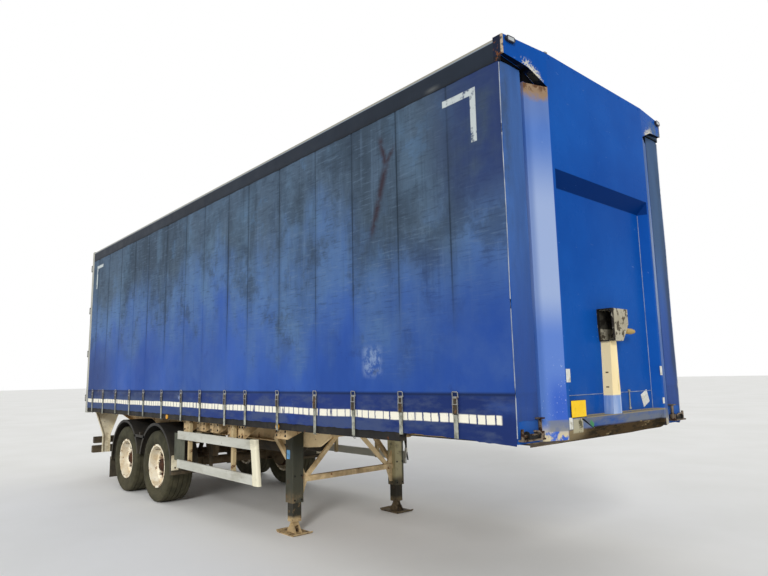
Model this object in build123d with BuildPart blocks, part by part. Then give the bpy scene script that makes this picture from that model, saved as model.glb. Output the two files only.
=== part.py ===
"""Tandem-axle curtain-sided semi trailer, in millimetres.

+X points forwards, +Y to the trailer's left and +Z up. The origin is on the ground, in the
middle of the overall length and width. Places along the body are given as distances behind
the front wall's face, which x_at() turns into X.
"""
from build123d import *
from math import atan2, degrees, hypot
import os

os.makedirs("parts", exist_ok=True)

# Body envelope
body_length = 9830
half_width = 1275
roof_top_z = 4180
roof_rail_depth = 195
deck_thickness = 28
coupling_reach = 50

# Tyres, and the room over them that sets the height of the deck
tyre_radius = 500
tyre_half_width = 190
guard_clearance = 100
guard_wall = 6
guard_headroom = 74
rave_height = 130

# Rear doors
door_gap = 6
door_thickness = 32
door_meeting_gap = 10
door_lap = 85
door_top_drop = 110
hinge_axis_offset = 24
hinge_axis_inset = 12
hinge_barrel_radius = 14
hinge_pin_radius = 8
hinge_pin_clearance = 0.3
hinge_count = 4
hinge_end_gap = 200

front_face_x = (body_length + coupling_reach) / 2 + (
    door_gap + door_thickness + hinge_axis_offset + hinge_barrel_radius
) / 2 - coupling_reach
guard_radius = tyre_radius + guard_clearance
roof_rail_low_z = roof_top_z - roof_rail_depth
rave_low_z = tyre_radius + guard_radius + guard_wall + guard_headroom
deck_top_z = rave_low_z + rave_height
deck_low_z = deck_top_z - deck_thickness
door_bottom_z = deck_top_z - door_lap
door_top_z = roof_top_z - door_top_drop

# Front wall, its bevelled recess and the corner posts
panel_inset = 495
front_wall_thickness = 130
front_wall_rise = 65
recess_margin = 30
recess_top_drop = 930
recess_depth = 80
recess_top_bevel = 110
recess_side_bevel = 40
post_drop = 80
post_depth = 210
pillar_edge_inset = 275
pillar_sweep = 75
pillar_slot_width = 22
pillar_slot_depth = 35
header_dip = 285
header_knee = 182
header_corner = 150
header_knee_radius = 500
header_sweep = 45
header_flange = 75

panel_half_width = half_width - panel_inset
recess_half_width = panel_half_width - recess_margin
pillar_edge_y = half_width - pillar_edge_inset
front_wall_low_z = deck_top_z + front_wall_rise
post_low_z = deck_top_z - post_drop
header_dip_z = roof_top_z - header_dip

# Nose plate under the front wall
nose_knee_drop = 18
nose_foot_drop = 102
nose_run = 96
nose_rear_rise = 22
nose_bevel_depth = 68
nose_bevel_ends = (-586, -307)

# Curtains and their straps
curtain_thickness = 6
curtain_gap = 5
curtain_drop = 60
curtain_return_rise = 100
rear_post_depth = 100
rear_post_width = 110
strap_first = 622
strap_last_gap = 316
strap_width = 45
strap_thickness = 4
strap_hook_drop = 12
buckle_rise = 115
buckle_height = 140
buckle_width = 52
buckle_thickness = 11
strap_slack = (0, -34, -45, -82, -31, 21, -113, -66, -118, -73, 2, -23, 2, 32, 0)

curtain_start = header_flange + curtain_gap
curtain_back = curtain_start + curtain_thickness
curtain_end = body_length - rear_post_depth
curtain_low_z = deck_top_z - curtain_drop
curtain_return_low_z = deck_top_z + curtain_return_rise
strap_pitch = (curtain_end - strap_last_gap - strap_first) / (len(strap_slack) - 1)

# Roof
roof_bow_count = 8
roof_bow_height = 50
roof_bow_width = 40
roof_skin_thickness = 5
roof_rail_width = 80
roof_rail_wall = 10
roof_rail_round = 30
track_depth = 120
track_lip = 12

# Chassis
beam_y = 600
beam_depth = 337
beam_flange_width = 130
beam_flange_thickness = 14
beam_web = 8
beam_start = 340
neck_depth = 122
neck_foot = 3000
neck_heel = 3950
tail_run = 830
tail_depth = 172
crossmember_gap = 8
crossmember_flange = 46
crossmember_wall = 6
crossmember_pitch = 540
outrigger_root_depth = 172
rave_front_height = 60
rave_step = 1260
rave_wall = 8
rave_gap = 4
rave_top_flange = 70
rave_low_flange = 80
coupler_plate_end = 1900
coupler_plate_thickness = 10
coupler_corner_radius = 60
kingpin_setback = 1150
kingpin_radius = 36.5
kingpin_shank_length = 35
kingpin_neck_radius = 25.4
kingpin_neck_length = 35
kingpin_foot_radius = 35.7
kingpin_foot_length = 14

beam_top_z = deck_low_z
beam_low_z = beam_top_z - beam_depth
neck_low_z = beam_top_z - neck_depth
plate_low_z = neck_low_z - coupler_plate_thickness
beam_outer_y = beam_y + beam_flange_width / 2

# Landing gear
leg_setback = 3550
leg_tube = 150
leg_wall = 20
leg_round = 12
leg_low_z = 330
leg_head = 230
leg_inner_top_z = 620
leg_bracket_thickness = 35
foot_length = 360
foot_width = 250
foot_plate = 12
foot_lip = 26
foot_rise = 16
foot_eye_radius = 34
foot_eye_half_width = 28
foot_pin_z = 92
foot_pin_radius = 18
tie_z = 567
tie_size = 60
brace_foot_inset = 60
brace_head_y = 190
brace_width = 52
gusset_reach = 95
leg_cross_tube_rise = 55
leg_cross_tube_height = 80
shaft_rise = 185
shaft_radius = 14

leg_y = beam_outer_y + leg_bracket_thickness + leg_tube / 2
leg_inner_face_y = leg_y - leg_tube / 2
leg_top_z = beam_low_z + leg_head
leg_cross_tube_low_z = beam_low_z + leg_cross_tube_rise
shaft_z = beam_low_z + shaft_rise

# Wheels
wheel_inset = 30
rim_seat_radius = 286
rim_flange_height = 16
rim_half_width = 149
rim_flange_thickness = 11
hub_spigot_radius = 140
spindle_radius = 45
spindle_clearance = 0.3
drum_radius = 208
drum_wall = 14
drum_inner_reach = 225
axle_tube_radius = 63.5

wheel_y = half_width - wheel_inset - tyre_half_width
rim_flange_radius = rim_seat_radius + rim_flange_height

# Suspension, and the axle spread that it needs
arm_pivot_ahead = 500
arm_pivot_rise = 160
arm_width = 90
arm_thickness = 46
arm_eye_radius = 48
arm_pin_radius = 16
arm_side_gap = 2
axle_seat_height = 14
spring_behind = 400
spring_radius = 148
hanger_top_half = 150
hanger_foot_radius = 62
hanger_wall = 12
suspension_gap = 62
rear_overhang = 2105

arm_pivot_z = tyre_radius + arm_pivot_rise
axle_spread = arm_pivot_ahead + hanger_top_half + suspension_gap + spring_radius + spring_behind
axle_setbacks = {
    "front": body_length - rear_overhang - axle_spread,
    "rear": body_length - rear_overhang,
}

# Mudguards
guard_inset = 20
guard_width = 393
guard_low_z = 440
guard_lip = 38
stay_size = 40
flap_low_z = 150
flap_thickness = 8

guard_reach = guard_radius + guard_wall
guard_outer_y = half_width - guard_inset
guard_inner_y = guard_outer_y - guard_width
guard_bridge_z = beam_low_z - stay_size - guard_wall

# Side guards: rails behind a leaning front cap, shorter on the left to leave room for the crank
guard_rail_z = (555, 930)
guard_rail_height = 105
guard_rail_thickness = 30
guard_rail_inset = 25
guard_rail_gap = 179
guard_cap_length = {"right": 120, "left": 110}
guard_cap_behind_leg = {"right": -15, "left": 460}
guard_cap_lean = 70
guard_front_post = {"right": 535, "left": 290}
guard_rear_post = 290
guard_post_width = 50
guard_post_depth = 42

guard_rail_outer_y = half_width - guard_rail_inset
guard_rail_rear = axle_setbacks["front"] - guard_reach - guard_rail_gap

sides = (("left", 1), ("right", -1))


def x_at(behind_front):
    """X of a place that lies this far behind the front wall's face."""
    return front_face_x - behind_front


def outer_side(behind_front):
    """Plane across the trailer, looking forwards, at a place behind the front wall."""
    return Plane.YZ.offset(x_at(behind_front))


def finish(piece, node):
    """Name a finished piece and write it to its file."""
    piece.part.label = node
    export_step(piece.part, f"parts/{node}.step")


# Main beams with their swan neck
beam_line = [
    (x_at(curtain_end), beam_top_z - tail_depth),
    (x_at(curtain_end - tail_run), beam_low_z),
    (x_at(neck_heel), beam_low_z),
    (x_at(neck_foot), neck_low_z),
    (x_at(beam_start), neck_low_z),
]
beam_rear_x = beam_line[0][0]
beam_front_x = beam_line[-1][0]
shaft_hole_clearance = 1

with BuildPart() as main_beams:
    with BuildSketch(Plane.XZ.offset(-beam_y)):
        Polygon(*beam_line, (beam_front_x, beam_top_z), (beam_rear_x, beam_top_z), align=None)
    extrude(amount=beam_web / 2, both=True)
    with BuildSketch(Plane.XZ.offset(-beam_y)):
        flange_top = [(x, z + beam_flange_thickness) for x, z in reversed(beam_line)]
        Polygon(*beam_line, *flange_top, align=None)
        with Locations(((beam_rear_x + beam_front_x) / 2, beam_top_z - beam_flange_thickness / 2)):
            Rectangle(beam_front_x - beam_rear_x, beam_flange_thickness)
    extrude(amount=beam_flange_width / 2, both=True)
    with BuildSketch(Plane.XZ.offset(-beam_y)):
        with Locations((x_at(leg_setback), shaft_z)):
            Circle(shaft_radius + shaft_hole_clearance)
    extrude(amount=beam_web, both=True, mode=Mode.SUBTRACT)
    mirror(about=Plane.XZ)
finish(main_beams, "main_beams")

# Crossmembers between the beams, notched under the beams' top flanges
web_inner_y = beam_y - beam_web / 2
web_outer_y = beam_y + beam_web / 2
crossmember_height = neck_depth - beam_flange_thickness - crossmember_gap
crossmember_low_z = beam_top_z - crossmember_height
ahead_of_leg = int((leg_setback - beam_start) / crossmember_pitch - 0.5)
crossmember_first = leg_setback - (ahead_of_leg + 0.5) * crossmember_pitch
crossmember_run = curtain_end - crossmember_flange - crossmember_first
crossmember_count = 1 + int(crossmember_run / crossmember_pitch)
crossmember_setbacks = [crossmember_first + i * crossmember_pitch for i in range(crossmember_count)]

with BuildPart() as crossmember:
    with BuildSketch(Plane.XZ):
        with Locations((0, beam_top_z - crossmember_height / 2)):
            Rectangle(crossmember_wall, crossmember_height)
        for height in (crossmember_low_z + crossmember_wall / 2, beam_top_z - crossmember_wall / 2):
            with Locations((crossmember_flange / 2, height)):
                Rectangle(crossmember_flange, crossmember_wall)
    extrude(amount=web_inner_y, both=True)
    with Locations(
        (0, beam_y, beam_top_z - beam_flange_thickness / 2),
        (0, -beam_y, beam_top_z - beam_flange_thickness / 2),
    ):
        Box(4 * crossmember_flange, beam_flange_width, beam_flange_thickness, mode=Mode.SUBTRACT)

# Two air tanks, and the saddles for them under the crossmembers that pass over them
tank_radius = 150
tank_gap = 44
tank_drop = 152
tank_behind_leg = 780
tank_length = 1135
tank_end_round = 40
saddle_wall = 10
saddle_shift = 20
tank_front = leg_setback + tank_behind_leg
tank_rear = tank_front + tank_length
tank_y = tank_radius + tank_gap / 2
tank_z = crossmember_low_z - tank_radius - tank_drop
saddle_setbacks = [
    setback - saddle_shift
    for setback in crossmember_setbacks
    if tank_front + tank_end_round + saddle_wall < setback - saddle_shift < tank_rear - tank_end_round
]

with BuildPart() as air_tanks:
    with BuildSketch(outer_side(tank_rear)):
        with Locations((tank_y, tank_z)):
            Circle(tank_radius)
    extrude(amount=tank_length)
    fillet(air_tanks.edges().filter_by(GeomType.CIRCLE), tank_end_round)
    mirror(about=Plane.XZ)
finish(air_tanks, "air_tanks")

# Outriggers: tapered pressings from the beams out to the side raves
rave_outer_y = half_width - curtain_thickness - rave_gap
rave_web_y = rave_outer_y - rave_wall
rave_inner_y = rave_outer_y - rave_top_flange
rave_foot_y = rave_outer_y - rave_low_flange
rave_mid_y = rave_outer_y - rave_low_flange / 2
outrigger_root_z = beam_top_z - outrigger_root_depth


def rave_low_at(setback):
    """Height of the raves' underside, which rises at their step to the shallow front length."""
    if setback > rave_step:
        return rave_low_z
    return deck_top_z - rave_front_height


def beam_low_at(setback):
    """Height of the beam's underside at this distance behind the front wall."""
    x = x_at(setback)
    for (rear_x, rear_z), (front_x, front_z) in zip(beam_line, beam_line[1:]):
        if rear_x <= x <= front_x:
            return rear_z + (front_z - rear_z) * (x - rear_x) / (front_x - rear_x)
    return beam_line[0][1]


with BuildPart() as outriggers:
    for setback in crossmember_setbacks:
        root_z = max(
            outrigger_root_z,
            beam_low_at(setback) + beam_flange_thickness,
            beam_low_at(setback - crossmember_flange) + beam_flange_thickness,
        )
        outer_end_z = rave_low_at(setback) + rave_wall
        with BuildSketch(outer_side(setback)):
            Polygon(
                (web_outer_y, beam_top_z - beam_flange_thickness),
                (beam_outer_y, beam_top_z - beam_flange_thickness),
                (beam_outer_y, beam_top_z),
                (rave_web_y, beam_top_z),
                (rave_web_y, outer_end_z),
                (rave_foot_y, outer_end_z),
                (web_outer_y, root_z),
                align=None,
            )
        extrude(amount=crossmember_wall)
        with BuildSketch(outer_side(setback)):
            Polygon(
                (rave_foot_y, outer_end_z),
                (rave_foot_y, outer_end_z + crossmember_wall),
                (web_outer_y, root_z + crossmember_wall),
                (web_outer_y, root_z),
                align=None,
            )
        extrude(amount=crossmember_flange)
    mirror(about=Plane.XZ)

with BuildPart() as crossmembers:
    with Locations(*[(x_at(setback), 0, 0) for setback in crossmember_setbacks]):
        add(crossmember.part)
    for setback in saddle_setbacks:
        with BuildSketch(outer_side(setback)):
            with Locations((0, (tank_z + crossmember_low_z) / 2)):
                Rectangle(2 * (tank_y + tank_radius), crossmember_low_z - tank_z)
            with Locations((tank_y, tank_z), (-tank_y, tank_z)):
                Circle(tank_radius, mode=Mode.SUBTRACT)
        extrude(amount=saddle_wall)
    add(outriggers.part)
finish(crossmembers, "crossmembers")

# Side raves: channels under the curtains, open towards the middle, that step up over the tractor
# behind a plate that closes the deep length's front end
with BuildPart() as side_raves:
    for rear, front in ((curtain_end, rave_step), (rave_step, post_depth)):
        rave_foot_z = rave_low_at(rear)
        with BuildSketch(outer_side(rear)):
            with Locations((rave_outer_y - rave_wall / 2, (deck_top_z + rave_foot_z) / 2)):
                Rectangle(rave_wall, deck_top_z - rave_foot_z)
            with Locations((rave_outer_y - rave_top_flange / 2, deck_top_z - rave_wall / 2)):
                Rectangle(rave_top_flange, rave_wall)
            with Locations((rave_mid_y, rave_foot_z + rave_wall / 2)):
                Rectangle(rave_low_flange, rave_wall)
        extrude(amount=rear - front)
    with BuildSketch(outer_side(rave_step + rave_wall)):
        with Locations((rave_mid_y, (rave_low_z + rave_foot_z + rave_wall) / 2)):
            Rectangle(rave_low_flange, rave_foot_z + rave_wall - rave_low_z)
    extrude(amount=rave_wall)
    mirror(about=Plane.XZ)
finish(side_raves, "side_raves")

# Load deck
with BuildPart() as deck:
    with BuildSketch(outer_side(curtain_end)):
        with Locations((0, deck_low_z + deck_thickness / 2)):
            Rectangle(2 * rave_inner_y, deck_thickness)
    extrude(amount=curtain_end - front_wall_thickness)
finish(deck, "deck")

# Coupler plate under the neck
with BuildPart() as coupler_plate:
    with BuildSketch(Plane.XY.offset(plate_low_z)):
        with Locations((x_at((beam_start + coupler_plate_end) / 2), 0)):
            Rectangle(coupler_plate_end - beam_start, 2 * beam_outer_y)
    extrude(amount=coupler_plate_thickness)
    fillet(coupler_plate.edges().filter_by(Axis.Z).sort_by(Axis.X)[:2], coupler_corner_radius)
finish(coupler_plate, "coupler_plate")

# Nose plate: rounded under to guide the tractor's coupling in, with a bevel below the recess
# that has one slanted end
nose_knee_z = deck_top_z - nose_knee_drop
nose_foot_z = deck_top_z - nose_foot_drop
with BuildPart() as nose_bevel:
    with BuildSketch(outer_side(nose_bevel_depth)):
        Polygon(
            (nose_bevel_ends[0], front_wall_low_z),
            (nose_bevel_ends[1], nose_foot_z),
            (recess_half_width, nose_foot_z),
            (recess_half_width, front_wall_low_z),
            align=None,
        )
    extrude(amount=nose_bevel_depth)
    with BuildSketch(Plane.XZ):
        Polygon(
            (x_at(0), front_wall_low_z),
            (x_at(nose_bevel_depth), nose_foot_z),
            (x_at(0), nose_foot_z),
            align=None,
        )
    extrude(amount=panel_half_width, both=True, mode=Mode.INTERSECT)

with BuildPart() as nose_plate:
    with BuildSketch(Plane.XZ):
        with BuildLine():
            Line((x_at(0), front_wall_low_z), (x_at(0), nose_knee_z))
            TangentArc((x_at(0), nose_knee_z), (x_at(nose_run), nose_foot_z), tangent=(0, -1))
            Polyline(
                (x_at(nose_run), nose_foot_z),
                (x_at(beam_start), plate_low_z),
                (x_at(beam_start), neck_low_z + nose_rear_rise),
                (x_at(front_wall_thickness), deck_low_z),
                (x_at(front_wall_thickness), front_wall_low_z),
                (x_at(0), front_wall_low_z),
            )
        make_face()
    extrude(amount=panel_half_width, both=True)
    add(nose_bevel.part, mode=Mode.SUBTRACT)
finish(nose_plate, "nose_plate")

# Kingpin
with BuildPart() as kingpin:
    with BuildSketch(Plane.XZ):
        neck_top_z = plate_low_z - kingpin_shank_length
        foot_top_z = neck_top_z - kingpin_neck_length
        pin_x = x_at(kingpin_setback)
        Polygon(
            (pin_x, plate_low_z),
            (pin_x + kingpin_radius, plate_low_z),
            (pin_x + kingpin_radius, neck_top_z),
            (pin_x + kingpin_neck_radius, neck_top_z),
            (pin_x + kingpin_neck_radius, foot_top_z),
            (pin_x + kingpin_foot_radius, foot_top_z),
            (pin_x + kingpin_foot_radius, foot_top_z - kingpin_foot_length),
            (pin_x, foot_top_z - kingpin_foot_length),
            align=None,
        )
    revolve(axis=Axis((pin_x, 0, 0), (0, 0, 1)))
finish(kingpin, "kingpin")

# Front wall with its bevelled recess, open at the bottom onto the nose plate
recess_top_z = roof_top_z - recess_top_drop
with BuildPart() as front_wall:
    with BuildSketch(outer_side(front_wall_thickness)):
        with Locations((0, (front_wall_low_z + roof_top_z) / 2)):
            Rectangle(2 * panel_half_width, roof_top_z - front_wall_low_z)
    extrude(amount=front_wall_thickness)
    with BuildSketch(outer_side(0)):
        with Locations((0, (front_wall_low_z + recess_top_z) / 2)):
            Rectangle(2 * recess_half_width, recess_top_z - front_wall_low_z)
    with BuildSketch(outer_side(recess_depth)):
        recess_floor_half = recess_half_width - recess_side_bevel
        recess_floor_top_z = recess_top_z - recess_top_bevel
        with Locations((0, (front_wall_low_z + recess_floor_top_z) / 2)):
            Rectangle(2 * recess_floor_half, recess_floor_top_z - front_wall_low_z)
    loft(mode=Mode.SUBTRACT)
finish(front_wall, "front_wall")

# Corner posts: swept-back pillar face, the slot for the curtain's pole, and the post behind it
pillar_slot_y = pillar_edge_y + pillar_slot_width
with BuildPart() as corner_posts:
    with BuildSketch(Plane.XY.offset(post_low_z)):
        Polygon(
            (x_at(0), panel_half_width),
            (x_at(pillar_sweep), pillar_edge_y),
            (x_at(pillar_sweep + pillar_slot_depth), pillar_edge_y),
            (x_at(pillar_sweep + pillar_slot_depth), pillar_slot_y),
            (x_at(curtain_back), pillar_slot_y),
            (x_at(curtain_back), rave_outer_y),
            (x_at(post_depth), rave_outer_y),
            (x_at(post_depth), rave_inner_y),
            (x_at(front_wall_thickness), rave_inner_y),
            (x_at(front_wall_thickness), panel_half_width),
            align=None,
        )
    extrude(amount=roof_rail_low_z - post_low_z)
    with BuildSketch(Plane.XY.offset(header_dip_z)):
        with Locations((x_at(header_flange / 2), half_width / 2)):
            Rectangle(header_flange, half_width)
    extrude(amount=roof_rail_low_z - header_dip_z, mode=Mode.SUBTRACT)
    mirror(about=Plane.XZ)
finish(corner_posts, "corner_posts")

# Header corners: swept back in plan, their lower edge dipping from the knee down to the wall
header_overcut = 1
with BuildPart() as header_corners:
    with BuildSketch(Plane.XY.offset(header_dip_z)):
        Polygon(
            (x_at(0), panel_half_width),
            (x_at(header_sweep), half_width),
            (x_at(header_flange), half_width),
            (x_at(header_flange), panel_half_width),
            align=None,
        )
    extrude(amount=roof_top_z - header_dip_z)
    with BuildSketch(Plane.XY.offset(roof_rail_low_z)):
        Polygon(
            (x_at(header_flange), panel_half_width),
            (x_at(header_flange), half_width),
            (x_at(front_wall_thickness), half_width),
            (x_at(front_wall_thickness), panel_half_width),
            align=None,
        )
    extrude(amount=roof_rail_depth)
    with BuildSketch(outer_side(header_flange)):
        below_header = Polygon(
            (panel_half_width, header_dip_z),
            (pillar_edge_y, roof_top_z - header_knee),
            (half_width + header_overcut, roof_top_z - header_corner),
            (half_width + header_overcut, header_dip_z - header_overcut),
            (panel_half_width, header_dip_z - header_overcut),
            align=None,
        )
        fillet(below_header.vertices().sort_by(Axis.X)[2], header_knee_radius)
    extrude(amount=header_flange, mode=Mode.SUBTRACT)
    mirror(about=Plane.XZ)
finish(header_corners, "header_corners")

# Roof rails: hollow sections, open underneath for the curtains' rollers
rail_inner_y = half_width - roof_rail_width
track_width = roof_rail_width - 2 * roof_rail_wall - track_lip
with BuildPart() as roof_rails:
    with BuildSketch(outer_side(curtain_end)):
        with Locations((half_width - roof_rail_width / 2, roof_top_z - roof_rail_depth / 2)):
            rail_block = Rectangle(roof_rail_width, roof_rail_depth)
        fillet(rail_block.vertices().group_by(Axis.Y)[-1].sort_by(Axis.X)[-1], roof_rail_round)
        track_y = rail_inner_y + roof_rail_wall + track_width / 2
        with Locations((track_y, roof_rail_low_z + track_depth / 2)):
            Rectangle(track_width, track_depth, mode=Mode.SUBTRACT)
    extrude(amount=curtain_end - front_wall_thickness)
    mirror(about=Plane.XZ)
finish(roof_rails, "roof_rails")

# Roof bows and the skin they carry
bow_top_z = roof_top_z - roof_skin_thickness
bow_pitch = (curtain_end - front_wall_thickness) / (roof_bow_count + 1)
with BuildPart() as roof_bows:
    with Locations(
        *[
            (x_at(front_wall_thickness + (i + 1) * bow_pitch), 0, bow_top_z - roof_bow_height / 2)
            for i in range(roof_bow_count)
        ]
    ):
        Box(roof_bow_width, 2 * rail_inner_y, roof_bow_height)
finish(roof_bows, "roof_bows")

with BuildPart() as roof_skin:
    with BuildSketch(outer_side(curtain_end)):
        with Locations((0, roof_top_z - roof_skin_thickness / 2)):
            Rectangle(2 * rail_inner_y, roof_skin_thickness)
    extrude(amount=curtain_end - front_wall_thickness)
finish(roof_skin, "roof_skin")

# Curtains: a side sheet that wraps round the front corner as far as its pole
for side, hand in sides:
    with BuildPart() as curtain:
        with BuildSketch(outer_side(curtain_end)):
            with Locations(
                (
                    hand * (half_width - curtain_thickness / 2),
                    (curtain_low_z + roof_rail_low_z) / 2,
                )
            ):
                Rectangle(curtain_thickness, roof_rail_low_z - curtain_low_z)
        extrude(amount=curtain_end - curtain_start)
        with BuildSketch(outer_side(curtain_back)):
            with Locations(
                (
                    hand * (pillar_slot_y + half_width) / 2,
                    (curtain_return_low_z + roof_rail_low_z) / 2,
                )
            ):
                Rectangle(half_width - pillar_slot_y, roof_rail_low_z - curtain_return_low_z)
        extrude(amount=curtain_thickness)
    finish(curtain, f"curtain_{side}")

# Curtain straps with their over-centre buckles, hooked under the raves
buckle_low_z = deck_top_z + buckle_rise
strap_top_z = buckle_low_z + buckle_height
buckle_face_y = half_width + strap_thickness
with BuildPart() as strap_buckle:
    with BuildSketch(Plane.YZ):
        Polygon(
            (buckle_face_y, buckle_low_z),
            (buckle_face_y + buckle_thickness / 2, buckle_low_z),
            (buckle_face_y + buckle_thickness, buckle_low_z + buckle_height / 3),
            (buckle_face_y + buckle_thickness, strap_top_z - buckle_thickness),
            (buckle_face_y, strap_top_z),
            align=None,
        )
    extrude(amount=buckle_width / 2, both=True)

strap_setbacks = [strap_first + i * strap_pitch + slack for i, slack in enumerate(strap_slack)]
with BuildPart() as curtain_straps:
    for setback in strap_setbacks:
        strap_low_z = rave_low_at(setback) - strap_hook_drop
        with BuildSketch(outer_side(setback + strap_width / 2)):
            with Locations((half_width + strap_thickness / 2, (strap_low_z + strap_top_z) / 2)):
                Rectangle(strap_thickness, strap_top_z - strap_low_z)
        extrude(amount=strap_width)
    with Locations(*[(x_at(setback), 0, 0) for setback in strap_setbacks]):
        add(strap_buckle.part)
    mirror(about=Plane.XZ)
finish(curtain_straps, "curtain_straps")

# Rear frame: posts, header, threshold and the keepers for the doors' lock rods
lock_rod_radius = 13.5
lock_rod_offset = 21.5
lock_rod_ends = 32
lock_rod_insets = (380, 1010)
keeper_extra = 10
keeper_rib = 8
keeper_clearance = 7
rear_frame_drop = 20
rear_face_x = x_at(body_length)
rear_low_z = rave_low_z - rear_frame_drop
opening_half_width = half_width - rear_post_width
opening_top_z = door_top_z - door_lap
hinge_x = rear_face_x - door_gap - door_thickness - hinge_axis_offset
hinge_y = half_width - hinge_axis_inset
door_face_x = hinge_x + hinge_axis_offset
lock_rod_x = door_face_x - lock_rod_offset
lock_rod_ys = [hinge_y - inset for inset in lock_rod_insets]
keeper_reach = rear_face_x - lock_rod_x + keeper_extra
keeper_rib_y = lock_rod_radius + keeper_clearance + keeper_rib / 2
with BuildPart() as rear_frame:
    with BuildSketch(Plane.YZ.offset(rear_face_x)):
        with Locations((0, (rear_low_z + roof_top_z) / 2)):
            Rectangle(2 * half_width, roof_top_z - rear_low_z)
        with Locations((0, (deck_top_z + opening_top_z) / 2)):
            Rectangle(2 * opening_half_width, opening_top_z - deck_top_z, mode=Mode.SUBTRACT)
    extrude(amount=rear_post_depth)
    with BuildSketch(Plane.YZ.offset(rear_face_x)):
        for end_z in (door_bottom_z - lock_rod_ends, door_top_z + lock_rod_ends):
            for rod_y in lock_rod_ys:
                with Locations((rod_y - keeper_rib_y, end_z), (rod_y + keeper_rib_y, end_z)):
                    Rectangle(keeper_rib, 2 * lock_rod_radius)
                with Locations((-rod_y - keeper_rib_y, end_z), (-rod_y + keeper_rib_y, end_z)):
                    Rectangle(keeper_rib, 2 * lock_rod_radius)
    extrude(amount=-keeper_reach)
finish(rear_frame, "rear_frame")

# Hinge brackets: two lugs and a pin for each hinge blade
hinge_blade_height = 84
hinge_side_gap = 3
lug_height = 14
lug_reach = hinge_blade_height / 2 + hinge_side_gap
hinge_first_z = door_bottom_z + hinge_end_gap
hinge_pitch = (door_top_z - hinge_end_gap - hinge_first_z) / (hinge_count - 1)
hinge_heights = [hinge_first_z + i * hinge_pitch for i in range(hinge_count)]
with BuildPart() as hinge_bracket:
    for low_z in (-lug_reach - lug_height, lug_reach):
        with BuildSketch(Plane.XY.offset(low_z)):
            with Locations((hinge_x, hinge_y)):
                Circle(hinge_axis_inset)
            with Locations(((hinge_x + rear_face_x) / 2, hinge_y)):
                Rectangle(rear_face_x - hinge_x, 2 * hinge_axis_inset)
        extrude(amount=lug_height)
    with BuildSketch(Plane.XY):
        with Locations((hinge_x, hinge_y)):
            Circle(hinge_pin_radius)
    extrude(amount=lug_reach + lug_height, both=True)

with BuildPart() as hinge_brackets:
    with Locations(*[(0, 0, height) for height in hinge_heights]):
        add(hinge_bracket.part)
    mirror(about=Plane.XZ)
finish(hinge_brackets, "hinge_brackets")

# Rear doors: flat leaves, and on each its hinge blades, lock rods and handles
door_edge_gap = 4
blade_length = 260
blade_thickness = 12
handle_length = 400
handle_width = 34
handle_thickness = 12
handle_rises = (675, 515)
guide_width = 60
guide_height = 40
guide_end_gap = 275
door_edge_y = hinge_y - hinge_barrel_radius - door_edge_gap
door_free_y = door_meeting_gap / 2
guide_heights = (
    door_bottom_z + guide_end_gap,
    (door_bottom_z + door_top_z) / 2,
    door_top_z - guide_end_gap,
)
with BuildPart() as door_leaf:
    with BuildSketch(Plane.YZ.offset(door_face_x)):
        with Locations(((door_edge_y + door_free_y) / 2, (door_bottom_z + door_top_z) / 2)):
            Rectangle(door_edge_y - door_free_y, door_top_z - door_bottom_z)
    extrude(amount=door_thickness)

with BuildPart() as door_gear:
    for height in hinge_heights:
        with BuildSketch(Plane.XY.offset(height)):
            with Locations((door_face_x - blade_thickness / 2, hinge_y - blade_length / 2)):
                Rectangle(blade_thickness, blade_length)
            with Locations((hinge_x, hinge_y)):
                Circle(hinge_barrel_radius)
                Circle(hinge_pin_radius + hinge_pin_clearance, mode=Mode.SUBTRACT)
        extrude(amount=hinge_blade_height / 2, both=True)
    for rod_y, rise, heading in zip(lock_rod_ys, handle_rises, (-1, 1)):
        with BuildSketch(Plane.XY.offset(door_bottom_z - lock_rod_ends)):
            with Locations((lock_rod_x, rod_y)):
                Circle(lock_rod_radius)
        extrude(amount=door_top_z - door_bottom_z + 2 * lock_rod_ends)
        guide_x = (lock_rod_x + door_face_x) / 2
        with Locations(*[(guide_x, rod_y, height) for height in guide_heights]):
            Box(door_face_x - lock_rod_x, guide_width, guide_height)
        with Locations((lock_rod_x, rod_y + heading * handle_length / 2, door_bottom_z + rise)):
            Box(handle_thickness, handle_length, handle_width)

for side, hand in sides:
    for piece, node in ((door_leaf, f"door_{side}_leaf"), (door_gear, f"door_{side}_gear")):
        with BuildPart() as fitted:
            add(piece.part if hand > 0 else piece.part.mirror(Plane.XZ))
        finish(fitted, node)

# Rear lamp board and underrun bar on their folded hangers
board_low_z = 592
board_height = 117
bar_low_z = 423
bar_height = 127
bumper_depth = 80
bumper_round = 12
board_inset = 155
bar_inset = 135
hanger_top_insets = (575, 155)
hanger_foot_insets = (425, 290)
hanger_knee_rise = 36
folded_wall = 10
folded_flange = 48
hanger_pad = 40
hanger_x = x_at(curtain_end)
hanger_knee_z = board_low_z + board_height + hanger_knee_rise
top_inner_y, top_outer_y = (half_width - inset for inset in hanger_top_insets)
foot_inner_y, foot_outer_y = (half_width - inset for inset in hanger_foot_insets)
pad_place = (hanger_x - hanger_pad / 2, (top_inner_y + top_outer_y) / 2, rear_low_z - folded_wall / 2)
with BuildPart() as rear_hangers:
    for wall, mode in ((0, Mode.ADD), (folded_wall, Mode.SUBTRACT)):
        with BuildSketch(Plane.YZ.offset(hanger_x + wall)):
            Polygon(
                (top_inner_y + wall, rear_low_z - wall),
                (top_outer_y - wall, rear_low_z - wall),
                (foot_outer_y - wall, hanger_knee_z),
                (foot_outer_y - wall, bar_low_z),
                (foot_inner_y + wall, bar_low_z),
                (foot_inner_y + wall, hanger_knee_z),
                align=None,
            )
        extrude(amount=folded_flange, mode=mode)
    with Locations(pad_place):
        Box(hanger_pad, top_outer_y - top_inner_y, folded_wall)
    mirror(about=Plane.XZ)
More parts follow.
